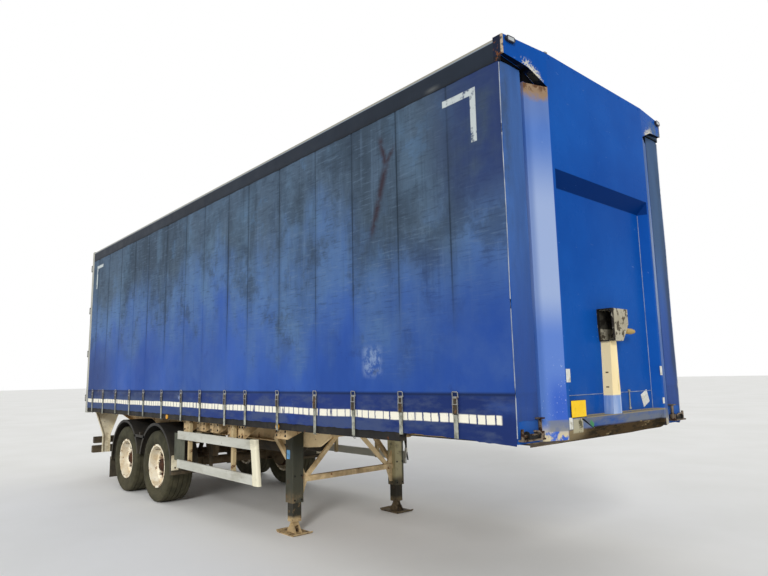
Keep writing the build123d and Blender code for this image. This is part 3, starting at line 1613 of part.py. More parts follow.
# Mudguard stays: one under the bridge, and a post with an arm at each end
stay_top_z = beam_low_z + 2 * stay_size
with BuildPart() as mudguard_stays:
    with Locations((wheel_mid_x, (hanger_outer_y + stay_outer_y) / 2, beam_low_z - stay_size / 2)):
        Box(stay_size, stay_outer_y - hanger_outer_y, stay_size)
    for stay_x in (
        wheel_xs[0] + guard_reach + stay_size / 2,
        wheel_xs[1] - guard_reach - stay_size / 2,
    ):
        with Locations((stay_x, (beam_outer_y + stay_outer_y) / 2, guard_low_z + stay_size / 2)):
            Box(stay_size, stay_outer_y - beam_outer_y, stay_size)
        with Locations((stay_x, beam_outer_y + stay_size / 2, (guard_low_z + stay_top_z) / 2)):
            Box(stay_size, stay_size, stay_top_z - guard_low_z)
    mirror(about=Plane.XZ)
finish(mudguard_stays, "mudguard_stays")
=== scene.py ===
import bpy
import bmesh
from math import cos, exp, pi, radians, sin
from random import Random
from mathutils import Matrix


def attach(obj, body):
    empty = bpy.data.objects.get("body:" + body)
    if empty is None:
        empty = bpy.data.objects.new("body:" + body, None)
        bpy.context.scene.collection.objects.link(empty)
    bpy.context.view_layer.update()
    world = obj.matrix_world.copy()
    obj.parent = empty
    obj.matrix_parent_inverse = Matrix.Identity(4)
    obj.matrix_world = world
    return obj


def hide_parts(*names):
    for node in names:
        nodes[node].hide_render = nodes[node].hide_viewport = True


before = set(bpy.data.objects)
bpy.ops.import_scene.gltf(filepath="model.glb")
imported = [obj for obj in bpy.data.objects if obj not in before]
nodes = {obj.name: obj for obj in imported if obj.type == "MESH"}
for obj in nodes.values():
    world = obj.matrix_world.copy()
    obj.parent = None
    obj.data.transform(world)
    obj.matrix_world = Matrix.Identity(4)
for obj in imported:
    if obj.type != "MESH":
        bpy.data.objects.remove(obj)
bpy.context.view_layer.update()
from types import SimpleNamespace
from mathutils import Matrix, Vector

scene = bpy.context.scene

# Places shared with the CAD, in metres; the near side of the photograph is the right one, -y
FRONT_X = 4.928
RECESS_X = FRONT_X - 0.08
CURTAIN_FRONT_X = FRONT_X - 0.083
CURTAIN_REAR_X = FRONT_X - 9.73
CURTAIN_LOW_Z, CURTAIN_HIGH_Z, RETURN_LOW_Z = 1.25, 3.985, 1.41
STRAP_SLACK = (0, -34, -45, -82, -31, 21, -113, -66, -118, -73, 2, -23, 2, 32, 0)
STRAP_XS = [FRONT_X - (622 + 628 * i + slack) / 1000 for i, slack in enumerate(STRAP_SLACK)]
BOW_XS = [FRONT_X - 0.13 - (i + 1) * 9.6 / 9 for i in range(8)]
AXLE_XS = {"front": FRONT_X - 6.465, "rear": FRONT_X - 7.725}
WHEEL_Y, WHEEL_Z, TYRE_RADIUS = 1.055, 0.5, 0.5
LEG_X, LEG_Y = FRONT_X - 3.55, 0.775
SIDES = {"left": 1, "right": -1}
AHEAD, BACK = (1, 0, 0), (-1, 0, 0)

# Marks on the curtain: its four corner bars, and the forked stain as slanted lines with their
# (offset, slope, width, low, high, softness)
CORNER_MARKS = (((4.268, 4.608), (3.815, 3.87)), ((4.553, 4.608), (3.44, 3.87)),
                ((-4.602, -4.252), (3.815, 3.87)), ((-4.602, -4.547), (3.44, 3.87)))
STAIN = ((2.41, 0.33, 0.07, 2.95, 3.56, 0.08), (4.5, -0.26, 0.06, 3.5, 3.8, 0.05),
         (0.74, 0.8, 0.06, 3.52, 3.68, 0.05))
STRIPE_LOW_Z, STRIPE_HIGH_Z = 1.353, 1.416
BAND_SEAM_Z = 1.558
DIP_Y, DIP_Z = 1.0, 3.998


def rgb(red, green, blue):
    """Linear colour of an sRGB one given in 0 to 255."""
    shares = (red / 255, green / 255, blue / 255)
    return tuple(v / 12.92 if v <= 0.04 else ((v + 0.055) / 1.055) ** 2.4 for v in shares) + (1.0,)


# ---------------- materials
# These functions work on the coat that begin() made last: one procedural material, painted in layers over
# the object's own coordinates. A value is a number, a socket, "x", "y", "z" or "side" for a coordinate in
# metres, where side is the distance from the middle plane, or (value, low, high) for a ramp. A colour is a
# socket or sRGB in 0 to 255. A stretch is the one along z, or (x, y, z).
coat = SimpleNamespace()


def begin(name, first, second, scale, rough, stretch=1, metallic=0.0, specular=0.2):
    """Starts a coat on its ground: two tones, the noise between them and a range of roughness."""
    coat.material = bpy.data.materials.new(name)
    coat.material.use_nodes = True
    coat.tree = coat.material.node_tree
    coat.shader = coat.tree.nodes["Principled BSDF"]
    coat.shader.inputs["Metallic"].default_value = metallic
    coat.shader.inputs["Specular IOR Level"].default_value = specular
    coat.place = coat.tree.nodes.new("ShaderNodeTexCoord").outputs["Object"]
    coat.axes = split(coat.place)
    coat.axes["side"] = math("ABSOLUTE", "y")
    coat.seed = sum(ord(letter) for letter in name) % 97
    coat.colour = mix(mist(0.3, 0.7, scale, stretch), first, second)
    coat.rough = add("ShaderNodeMapRange", noise(scale * 2.5), 0.3, 0.7, *rough)


def split(vector):
    node = coat.tree.nodes.new("ShaderNodeSeparateXYZ")
    coat.tree.links.new(vector, node.inputs[0])
    return dict(zip("xyz", node.outputs))


def resolve(value):
    """The socket or number behind an axis name or a ramp."""
    if isinstance(value, str):
        return coat.axes[value]
    return ramp(*value) if isinstance(value, tuple) else value


def put(socket, value):
    if socket.type == "VALUE":
        value = resolve(value)
    if isinstance(value, bpy.types.NodeSocket):
        coat.tree.links.new(value, socket)
    else:
        socket.default_value = rgb(*value) if socket.type == "RGBA" else value


def add(kind, *values, **settings):
    node = coat.tree.nodes.new(kind)
    for key, value in settings.items():
        setattr(node, key, value)
    for socket, value in zip(node.inputs, values):
        put(socket, value)
    return node.outputs[0]


def math(operation, first, second=0.0):
    return add("ShaderNodeMath", first, second, operation=operation)


def plus(value, more, times):
    return math("ADD", value, math("MULTIPLY", more, times))


def apart(first, second):
    return math("ABSOLUTE", math("SUBTRACT", first, second))


def off_line(axis, offset, slope, other):
    """Distance of axis from the slanted line offset + slope * other."""
    return apart(axis, math("ADD", math("MULTIPLY", other, slope), offset))


def all_of(*shares):
    product = resolve(shares[0])
    for share in shares[1:]:
        product = math("MULTIPLY", product, share)
    return product


def any_of(*shares):
    most = shares[0]
    for share in shares[1:]:
        most = math("MAXIMUM", most, share)
    return most


def noise(scale, stretch=1, detail=5, roughness=0.6):
    """Noise from 0 to 1; each call of it is moved to another place."""
    coat.seed += 1
    shift = (coat.seed * 3.7, coat.seed * 1.9, coat.seed * 2.3)
    stretch = stretch if isinstance(stretch, tuple) else (1, 1, stretch)
    moved = add("ShaderNodeMapping", coat.place, shift, (0, 0, 0), stretch)
    node = coat.tree.nodes.new("ShaderNodeTexNoise")
    coat.tree.links.new(moved, node.inputs["Vector"])
    for key, value in (("Scale", scale), ("Detail", detail), ("Roughness", roughness)):
        node.inputs[key].default_value = value
    return node.outputs["Fac"]


def swing(*terms):
    """Noise that swings about 0."""
    return math("SUBTRACT", noise(*terms), 0.5)


def ramp(value, low, high):
    """0 at low, 1 at high, smooth between; low may be above high."""
    if low > high:
        return math("SUBTRACT", 1, ramp(value, high, low))
    return add("ShaderNodeMapRange", value, low, high, 0, 1, interpolation_type="SMOOTHSTEP")


def mist(low, high, *terms):
    """Noise, ramped from low to high."""
    return ramp(noise(*terms), low, high)


def patches(scale, cover, soft=0.03, stretch=1):
    """1 in patches that cover about this share of the surface."""
    edge = 0.5 + 0.22 * (0.5 - cover) * 2
    return mist(edge - soft, edge + soft, scale, stretch, 8, 0.65)


def span(axis, low, high, soft=0.004):
    """1 between low and high along one axis."""
    return all_of((axis, low - soft, low + soft), (axis, high + soft, high - soft))


def zone(soft, **spans):
    """1 inside the spans of several axes."""
    return all_of(*(span(axis, *ends, soft) for axis, ends in spans.items()))


def lowers():
    """1 on faces that look down."""
    node = coat.tree.nodes.new("ShaderNodeNewGeometry")
    return ramp(split(node.outputs["True Normal"])["z"], -0.3, -0.6)


def mix(share, first, second):
    node = coat.tree.nodes.new("ShaderNodeMix")
    node.data_type = "RGBA"
    for index, value in ((0, share), (6, first), (7, second)):
        put(node.inputs[index], value)
    return node.outputs[2]


def layer(colour, roughness, *shares):
    """Paints a colour, and its roughness, where all the shares are 1."""
    share = all_of(*shares)
    coat.colour = mix(share, coat.colour, colour)
    kept = math("MULTIPLY", coat.rough, math("SUBTRACT", 1, share))
    coat.rough = math("ADD", kept, math("MULTIPLY", share, roughness))


def close(bump=0.2, grain=60, distance=0.002, height=None):
    """Links the layers to the shader and adds a bump."""
    relief = noise(grain, 1, 3)
    if height is not None:
        relief = math("ADD", math("MULTIPLY", relief, 0.3), height)
    node = coat.tree.nodes.new("ShaderNodeBump")
    node.inputs["Strength"].default_value = bump
    node.inputs["Distance"].default_value = distance
    for output, socket in ((coat.colour, coat.shader.inputs["Base Color"]),
                           (coat.rough, coat.shader.inputs["Roughness"]), (relief, node.inputs["Height"]),
                           (node.outputs["Normal"], coat.shader.inputs["Normal"])):
        coat.tree.links.new(output, socket)
    return coat.material


def weathered(name, first, second, rough, metallic=0, scale=3, streaks=None, rust=None,
              dust=None, grime=None, bump=0.2, grain=60, specular=0.2):
    """Two tones with grime (colour, cover, scale), streaks (colour, amount), rust (colour, cover,
    scale) and dust (colour, low, high, amount) laid over them where they are given."""
    begin(name, first, second, scale, rough, 1, metallic, specular)
    if grime:
        colour, cover, size = grime
        layer(colour, 0.8, patches(size, cover, 0.12), 0.8)
    if streaks:
        colour, amount = streaks
        layer(colour, 0.7, mist(0.5, 0.75, 9, 0.06), amount)
    if rust:
        colour, cover, size = rust
        layer(colour, 0.85, patches(size, cover))
    if dust:
        colour, low, high, amount = dust
        layer(colour, 0.9, ("z", high, low), amount, mist(0.25, 0.6, 7))
    return close(bump, grain)


RUST, DARK_RUST = (92, 52, 30), (58, 38, 28)


def soot():
    """Grey from the top down to a ragged edge, with smudges, runs and rubbed streaks in it."""
    edge = plus("z", swing(0.8, 0.9, 7), 2)
    edge = plus(edge, swing(2.6, 0.2, 6), 1.1)
    fine_runs = noise(15, 0.05, 4)
    edge = plus(edge, (apart("x", 3.75), 0.85, 0.25), 0.5)
    layer((80, 112, 158), 0.6, (edge, 1.75, 2.9), 0.85)
    layer((76, 92, 106), 0.7, (edge, 2.6, 3.5), 0.88)
    layer((46, 57, 68), 0.75, patches(1.3, 0.42, 0.1, 0.3), (edge, 2.2, 3.1), 0.6)
    layer((104, 138, 170), 0.6, patches(1.6, 0.3, 0.12, 0.6), (edge, 2, 2.7), 0.3)
    layer((104, 128, 156), 0.6, (fine_runs, 0.54, 0.72), (edge, 1.8, 2.9), 0.28)
    layer((44, 54, 66), 0.75, (fine_runs, 0.44, 0.3), (edge, 2, 3), 0.3)
    layer((88, 120, 164), 0.6, patches(2.4, 0.4, 0.08, 0.8), (edge, 2.1, 2.6), ("z", 3.4, 2.8), 0.3)
    clouds = noise(1.7, 0.9, 9, 0.7)
    layer((54, 68, 84), 0.7, (clouds, 0.5, 0.62), (edge, 2, 2.5), 0.55)
    layer((88, 122, 160), 0.6, (clouds, 0.44, 0.34), (edge, 2, 2.5), 0.35)
    rubs = noise(46, (0.12, 1, 1.2), 4)
    layer((108, 130, 154), 0.65, (rubs, 0.55, 0.7), (edge, 1.9, 2.6), 0.3)
    layer((44, 54, 68), 0.75, (rubs, 0.45, 0.32), (edge, 1.9, 2.6), 0.35)


def curtain_ends():
    """The curtain's front and rear ends, and pale and dark blooms low down."""
    layer((54, 66, 80), 0.7, ("x", 3.5, 4.7), ("z", 2.8, 3.5), 0.6)
    layer((38, 54, 104), 0.65, ("x", 3.95, 4.7), ("z", 2.6, 3.3), mist(0.2, 0.5, 1.6), 0.8)
    layer((32, 68, 146), 0.55, ("x", 2.9, 4.5), ("z", 2.9, 2.1), 0.7)
    layer((52, 68, 112), 0.65, ("x", -2.8, -4.3), ("z", 2.7, 1.9), 0.75)
    layer((84, 112, 158), 0.6, patches(0.9, 0.3, 0.15), ("z", 2.6, 2), 0.4)
    layer((34, 50, 96), 0.6, patches(4, 0.16, 0.05), ("z", 2.3, 1.8), 0.35)


def curtain_seams():
    """Dark seams with a soft shade round them, one over each strap."""
    seams = any_of(*(span("x", x - 0.008, x + 0.008, 0.006) for x in STRAP_XS))
    shades = any_of(*(span("x", x - 0.03, x + 0.03, 0.05) for x in STRAP_XS))
    layer((44, 56, 70), 0.7, shades, ("z", 1.6, 2.4), mist(0.35, 0.65, 1.4, 0.35), 0.5)
    layer((22, 30, 40), 0.7, seams, ("z", 1.9, 2.7), mist(0.25, 0.65, 1.5, 0.4), 0.75)


def curtain_stains():
    """The forked stain, the scuffed spot and the pale patch at the rear."""
    stain = any_of(*(all_of((off_line("x", offset, slope, "z"), width, 0), span("z", low, high, soft))
                     for offset, slope, width, low, high, soft in STAIN))
    layer((52, 34, 38), 0.75, stain, mist(0.3, 0.55, 6), 0.8)
    scuffed = zone(0.05, x=(3.24, 3.46), z=(1.72, 1.95))
    layer((130, 152, 190), 0.6, scuffed, patches(11, 0.5, 0.08), 0.85)
    layer((38, 52, 84), 0.6, scuffed, patches(9, 0.25, 0.05), 0.6)
    pale = zone(0.02, x=(-4.21, -3.88), z=(1.45, 1.57))
    layer((190, 176, 168), 0.6, pale, patches(10, 0.7, 0.06), 0.7)


def curtain_band():
    """The darker band along the curtain's lower edge, and a line of painted shade along its seam."""
    band = ramp("z", 1.58, 1.53)
    tones = mix(("z", 1.5, 1.43), (46, 58, 96), (62, 78, 116))
    tones = mix(("x", -2, 1), tones, (40, 58, 118))
    tones = mix(("x", 2.6, 4.2), tones, (32, 48, 100))
    tones = mix(all_of(patches(2.6, 0.4, 0.1, 3), 0.6), tones, (78, 90, 116))
    layer(tones, 0.7, band, mist(0, 0.45, 2.2, 2), 0.95)
    layer((150, 166, 206), 0.6, band, ("z", 1.42, 1.47), patches(7, 0.12, 0.03), 0.6)
    # Painted shade along the band's welded seam
    layer((20, 27, 48), 0.6, span("z", 1.548, 1.572, 0.014), 0.8)


def curtain_return():
    """The strip of cloth that wraps round the front corner."""
    around = ramp("x", 4.836, 4.842)
    tones = mix(("z", 1.6, 3.3), (44, 76, 146), (64, 106, 172))
    layer(tones, 0.5, around, 0.85)
    layer((64, 86, 108), 0.6, around, ("y", 0, 0.5), ("z", 2.2, 3), 0.75)
    layer((58, 72, 92), 0.65, around, ("side", 1.14, 1.22), patches(1.6, 0.5, 0.1, 0.5), 0.8)
    layer((48, 62, 96), 0.6, around, patches(3, 0.45, 0.12, 0.15), 0.35)


def curtain_marks():
    """White corner bars, and the cut and torn cells of the reflective stripe."""
    marks = any_of(*(zone(0.004, x=along, z=up) for along, up in CORNER_MARKS))
    layer((198, 206, 206), 0.5, marks, mist(0.66, 0.5, 14), 0.9)
    height = plus("z", swing(1.3), 0.035)
    cell = math("FRACT", plus(all_of("x", 11), noise(1, (1, 0, 0)), 5))
    gaps = span(plus(cell, swing(40), 0.16), 0.06, 0.93, 0.04)
    torn = mist(0.72, 0.62, 11, 0.2)
    layer((244, 240, 222), 0.35, span(height, STRIPE_LOW_Z, STRIPE_HIGH_Z, 0.005), span("x", -4.77, 4.72, 0.01), gaps,
          torn)


def curtain_finish():
    """Faded blue coated fabric: soot from the top, seams at the poles, a reflective band below."""
    begin("curtain_fabric", (38, 74, 150), (54, 92, 172), 1.1, (0.45, 0.6), 0.5, specular=0.08)
    for part in (soot, curtain_ends, curtain_seams, curtain_stains, curtain_band, curtain_return, curtain_marks):
        part()
    weave = noise(420, 1, 1)
    return close(0.25, 90, 0.001, weave)


def paint_pillars(ahead):
    """The swept corner posts: a painted sheen, palest up the middle and deeper blue below, a grey-blue painted
    reflection in patches on the far post, rusty at the top, bare at the foot.
    """
    pillar = all_of(span("side", 0.784, 1, 0.003), span("z", 1.2, 3.9), ahead)
    # Painted sheen on the posts: palest between about 2.3 m and 2.9 m high, bluer above, and deepest blue low on the
    # inner part
    tone = mix(("z", 3.5, 2.9), (92, 126, 192), (156, 174, 210))
    tone = mix(("z", 2.3, 1.95), tone, (98, 130, 200))
    layer(tone, 0.4, pillar, mist(0.1, 0.5, 1.6, 0.3), 0.92)
    layer((46, 86, 186), 0.4, pillar, ("z", 1.75, 1.5), ("side", 0.99, 0.86), 0.75)
    layer((190, 202, 222), 0.6, pillar, ("z", 1.9, 1.6), patches(55, 0.15, 0.04), 0.8)
    layer((62, 96, 160), 0.4, pillar, ("side", 0.93, 0.985), 0.5)
    layer((104, 124, 168), 0.6, pillar, ("z", 3.5, 3.75), 0.55)
    reach = plus("z", noise(14), 0.14)
    near = ramp("y", 0.1, -0.1)
    layer((146, 122, 98), 0.85, pillar, near, (reach, 3.82, 3.9))
    layer((104, 76, 56), 0.9, pillar, near, (reach, 3.89, 3.95), patches(18, 0.5))
    # Grey-blue painted reflection, in patches, on the far post
    layer((72, 92, 120), 0.7, pillar, ("y", 0.1, 0.5), patches(2, 0.55, 0.1, 0.3), 0.6)
    layer((202, 190, 158), 0.8, pillar, ("z", 1.36, 1.26), patches(12, 0.62, 0.05))


def header_wear_and_shade(ahead):
    """Chips along the header's dips, painted shade in the gap under them and on the faces that look down, and the
    header's dark, rusty ends.
    """
    inner = math("SUBTRACT", "side", DIP_Y)
    line = math("MINIMUM", all_of(inner, 0.468), all_of(inner, 0.116))
    above = math("SUBTRACT", math("SUBTRACT", "z", DIP_Z), line)
    worn = all_of((above, 0.11, 0), (above, -0.004, 0), span("side", 0.84, 1.07, 0.06), ahead)
    spots = ramp(plus(noise(60, 1, 6), worn, 0.3), 0.66, 0.72)
    layer((206, 202, 186), 0.85, worn, spots)
    # Painted shade: a black strip in the gap under the header's dip
    layer((11, 12, 15), 0.9, (above, -0.002, -0.006), ("z", 3.9, 3.905), ("side", 0.775, 0.782))
    layer((96, 116, 136), 0.7, ("y", 0.9, 1.1), span("z", 4, 4.13, 0.02), 0.8, patches(9, 0.6, 0.08))
    # Painted shade on the faces under the header that look down
    layer((8, 10, 14), 0.9, lowers(), ("side", 0.77, 0.79), ("z", 3.8, 3.85), 0.95)
    end = all_of(("side", 1.262, 1.268), ("z", 3.9, 4))
    layer((38, 40, 46), 0.8, end, 0.95)
    layer((186, 168, 142), 0.85, end, ("x", 4.862, 4.872), patches(30, 0.6, 0.03))
    layer((112, 72, 48), 0.85, end, patches(24, 0.3, 0.03))


def nose_wear_and_painted_light(ahead):
    """The nose plate's bevel in a grey painted reflection, its rusty underside and lip, the tan patch, a thin line of
    painted shade along the bevel's slanted end, and a slanted green mark.
    """
    # Grey painted reflection on the nose's bevel
    layer((122, 126, 128), 0.5, span("z", 1.292, 1.372, 0.004), ("x", 4.86, 4.88), mist(0.25, 0.55, 3, 3), 0.8)
    nose = all_of(("z", 1.305, 1.285), ("side", 0.79, 0.775))
    layer((74, 60, 42), 0.85, nose)
    layer((48, 42, 32), 0.85, nose, patches(4, 0.4, 0.06, 4))
    layer((158, 140, 104), 0.8, nose, patches(9, 0.2, 0.03, (1, 0.5, 3)))
    layer((176, 158, 122), 0.8, nose, ("y", -0.45, -0.72), 0.5)
    layer((150, 140, 116), 0.8, span("z", 1.368, 1.382, 0.003), span("y", -0.6, 0.78), ahead, patches(20, 0.7))
    tan = all_of(span("y", -0.722, -0.588, 0.008), span("z", 1.27, 1.372, 0.006), ahead)
    layer((176, 170, 142), 0.75, tan, mist(0.2, 0.4, 9), 0.9)
    layer((96, 92, 74), 0.8, tan, patches(12, 0.3))
    # Painted shade: a thin dark line along the bevel's slanted end
    layer((20, 24, 30), 0.6, (off_line("z", 1.0823, -0.479, "y"), 0.012, 0.005), span("y", -0.6, -0.4, 0.004), ahead,
          span("z", 1.26, 1.37))
    layer((84, 150, 106), 0.6, (off_line("z", 1.103, -0.51, "y"), 0.017, 0.012), span("y", -0.46, -0.39, 0.006),
          ahead, span("z", 1.28, 1.36))


def front_paint():
    """Glossy blue with worn, rusty edges at the header's dip, the pillars' ends and the nose, painted shade on the
    recess's top bevel and under the header, and painted sheen and reflection on the pillars.
    """
    begin("front_paint", (8, 70, 152), (16, 84, 170), 0.8, (0.2, 0.34), specular=0.015)
    layer((44, 100, 178), 0.3, patches(0.7, 0.5, 0.2, 0.5), 0.2)
    ahead = ramp("x", FRONT_X - 0.13, FRONT_X - 0.1)
    layer((82, 104, 144), 0.6, ("z", 1.75, 1.35), mist(0.35, 0.65, 5), 0.3)
    # Painted shade on the recess's top bevel, which looks down
    layer((2, 38, 96), 0.4, span("z", 3.135, 3.252, 0.003), ("side", 0.752, 0.748),
          ("x", FRONT_X - 0.0005, FRONT_X - 0.002), 0.85)
    paint_pillars(ahead)
    header_wear_and_shade(ahead)
    nose_wear_and_painted_light(ahead)
    layer((116, 146, 196), 0.6, patches(34, 0.05, 0.01, (1, 0.25, 1)), 0.6)
    return close(0.05, 25, 0.004)


def duct_paint():
    """Cream above the panel joint, worn blue below it, with two screws."""
    begin("duct_paint", (252, 232, 180), (244, 222, 168), 4, (0.4, 0.6), 0.2)
    low = ramp("z", 1.525, 1.515)
    layer((112, 146, 204), 0.5, low)
    layer((176, 192, 220), 0.5, low, mist(0.4, 0.6, 9, 0.1), 0.8)
    layer((196, 168, 118), 0.8, patches(16, 0.12, 0.04, 0.3), 0.5)
    for z in (1.585, 1.7):
        layer((50, 36, 26), 0.8, span("z", z - 0.005, z + 0.005, 0.002), span("y", -0.14, -0.095, 0.001),
              span("x", 4.875, 4.9, 0.003))
    return close(0.1, 60)


def roof_finish():
    """Translucent white roof sheet, darker over the bows and dirty in patches."""
    begin("roof_white", (190, 192, 190), (174, 176, 172), 1.5, (0.4, 0.55), (0.3, 1, 1), specular=0.08)
    layer((150, 150, 138), 0.7, patches(1.1, 0.4, 0.14, (0.4, 1.5, 1)), 0.6)
    layer((126, 128, 124), 0.6, any_of(*(span("x", x - 0.02, x + 0.02, 0.008) for x in BOW_XS)), 0.6)
    layer((112, 110, 96), 0.8, patches(9, 0.18, 0.05), 0.5)
    return close(0.15, 20, 0.004)


def hood_finish():
    """Pale chipped paint over rust, painted shade inside the hood and on its open near side, a brass stub beside it.
    """
    begin("hood_finish", (184, 178, 158), (160, 152, 130), 9, (0.5, 0.7))
    layer((84, 76, 62), 0.8, patches(12, 0.42, 0.02))
    layer((40, 34, 28), 0.85, patches(20, 0.25, 0.02))
    # Painted shade, in patches, on the hood's open near side
    layer((34, 29, 25), 0.85, ("y", -0.1, -0.12), patches(15, 0.75, 0.05))
    # Painted shade inside the hood
    layer((20, 18, 16), 0.9, zone(0.001, y=(-0.2, 0.105), z=(2.05, 2.2), x=(4.85, 4.967)), 0.9)
    layer((176, 148, 86), 0.5, ("y", 0.118, 0.125), ("z", 2.07, 2.05))
    return close(0.3, 60)


def rail_finish():
    """Weathered dark rail, darker towards its lower edge, with a painted highlight along its top and another painted
    highlight on one dent.
    """
    begin("rail_finish", (30, 38, 50), (24, 30, 40), 2, (0.45, 0.6), (0.4, 1, 1), specular=0.12)
    layer((24, 28, 36), 0.6, ("z", 4.04, 3.98), 0.6)
    # Painted highlight along the rail's top
    layer((158, 172, 186), 0.4, span("z", 4.142, 4.158), 0.8)
    layer((24, 26, 30), 0.6, span("z", 3.98, 4), 0.6)
    layer((56, 68, 82), 0.6, noise(12, 0.1), 0.2)
    # A thinner painted highlight on the top edge
    layer((150, 146, 132), 0.45, ("z", 4.145, 4.152), 0.9)
    # Painted highlight on one dent
    layer((124, 126, 124), 0.4, span("x", 4.13, 4.2, 0.08), span("z", 4, 4.03, 0.02), 0.6)
    return close(0.1, 50)


def guard_finish():
    """Satin aluminium rails, cream end caps and tan posts, in one node."""
    begin("guard_finish", (184, 184, 172), (202, 202, 192), 3, (0.35, 0.5), (0.5, 1, 2))
    rails = any_of(span("z", 0.5545, 0.6605, 0.0002), span("z", 0.9295, 1.0355, 0.0002))
    posts = any_of(("side", 1.2195, 1.2185), math("SUBTRACT", 1, rails))
    layer((186, 166, 126), 0.7, posts)
    lean = plus("x", math("SUBTRACT", "z", 0.553), 0.1429)
    caps = any_of(all_of(("y", 0.1, -0.1), (lean, 1.269, 1.273)), all_of(("y", -0.1, 0.1), (lean, 0.804, 0.808)))
    layer((232, 226, 200), 0.55, caps)
    layer((144, 138, 118), 0.7, patches(4, 0.3, 0.08, (0.3, 1, 1)), 0.5)
    layer((96, 88, 70), 0.8, patches(26, 0.12, 0.03), 0.6)
    layer((110, 80, 52), 0.85, posts, math("SUBTRACT", 1, caps), patches(12, 0.3))
    return close(0.08, 70)


def lamp_finish():
    """Clear lenses in dark rims high on the header, amber ones along the raves."""
    begin("lamp_lens", (236, 176, 40), (226, 150, 26), 20, (0.15, 0.3))
    high = ramp("z", 2.9, 3.1)
    layer((176, 180, 182), 0.3, high)
    rim = any_of((apart("side", 1.197), 0.03, 0.034), (apart("z", 4.15), 0.012, 0.015))
    layer((38, 42, 52), 0.5, high, rim)
    layer((120, 100, 70), 0.7, patches(40, 0.25), 0.6)
    ribs = math("FRACT", all_of("z", 160))
    return close(0.4, 80, 0.001, ribs)


def crank_finish():
    """Black oiled steel, with a white grip on the crank."""
    begin("crank_finish", (40, 40, 36), (62, 58, 48), 8, (0.45, 0.65), metallic=0.2)
    layer(RUST, 0.85, patches(12, 0.3))
    grip = all_of(span("z", 0.64, 0.771, 0.002), ("y", 0.9, 0.93))
    layer((226, 224, 214), 0.5, grip)
    layer((140, 128, 108), 0.7, grip, patches(30, 0.2))
    return close()


def leg_finish():
    """Black-green paint, pale dust lit by painted sunlight on the far leg's inner face, rusty, and dusty near the
    foot.
    """
    begin("leg_finish", (44, 46, 38), (60, 60, 50), 5, (0.4, 0.6), 0.3)
    # Pale dust with painted sunlight on the far leg's inner face
    layer((212, 202, 158), 0.6, ("y", -0.1, 0.1), span("z", 0.42, 0.93, 0.04), ("y", 0.83, 0.8),
          mist(0.25, 0.45, 5), 0.85)
    layer((84, 84, 70), 0.6, noise(10, 0.08), 0.45)
    layer(RUST, 0.85, patches(9, 0.16))
    layer((128, 110, 82), 0.8, ("z", 0.52, 0.32), patches(7, 0.5, 0.1), 0.7)
    return close()


def foot_finish():
    """Dark greasy inner tube over a tan, rusty foot; the far foot is darker."""
    begin("foot_finish", (196, 172, 130), (168, 144, 106), 9, (0.6, 0.8), metallic=0.1)
    layer((92, 72, 52), 0.85, patches(12, 0.4, 0.05))
    tube = ramp("z", 0.15, 0.2)
    layer((52, 50, 42), 0.45, tube)
    layer((110, 92, 66), 0.7, tube, patches(14, 0.3))
    layer((50, 46, 38), 0.75, ("y", -0.1, 0.1), 0.75)
    return close(0.3, 50)


def rim_finish():
    """Chipped cream paint, rusty round the hub and along the flange."""
    begin("rim_cream", (253, 248, 230), (242, 228, 196), 7, (0.4, 0.6))
    across = math("MINIMUM", *(apart("x", x) for x in AXLE_XS.values()))
    rise = math("SUBTRACT", "z", WHEEL_Z)
    radius = math("SQRT", math("ADD", all_of(across, across), math("POWER", rise, 2)))
    layer((206, 180, 138), 0.7, patches(5, 0.4, 0.12), 0.7)
    layer((104, 74, 54), 0.85, (plus(radius, noise(13), 0.1), 0.295, 0.262), 0.85)
    layer((120, 92, 66), 0.85, (radius, 0.282, 0.29), patches(17, 0.4, 0.04))
    layer((130, 88, 58), 0.85, patches(14, 0.16))
    return close(0.25, 50)


def beam_finish():
    """Tan chassis paint with rust and road dirt, darker in patches up under the deck."""
    begin("chassis_tan", (222, 194, 148), (196, 166, 120), 2.5, (0.55, 0.75))
    layer((124, 106, 80), 0.8, patches(2, 0.4, 0.12), 0.6)
    layer((120, 76, 44), 0.85, patches(7, 0.2))
    layer(DARK_RUST, 0.9, patches(10, 0.16))
    layer((64, 56, 44), 0.8, ("z", 1, 1.2), patches(1.2, 0.4, 0.1), 0.6)
    return close(0.25, 60)


MATERIALS = {
    "curtain": curtain_finish(), "front": front_paint(), "duct": duct_paint(), "rail": rail_finish(),
    "guard": guard_finish(), "lamp": lamp_finish(), "hood": hood_finish(), "roof": roof_finish(),
    "rim": rim_finish(), "crank": crank_finish(), "leg": leg_finish(), "foot": foot_finish(), "tan": beam_finish(),
}

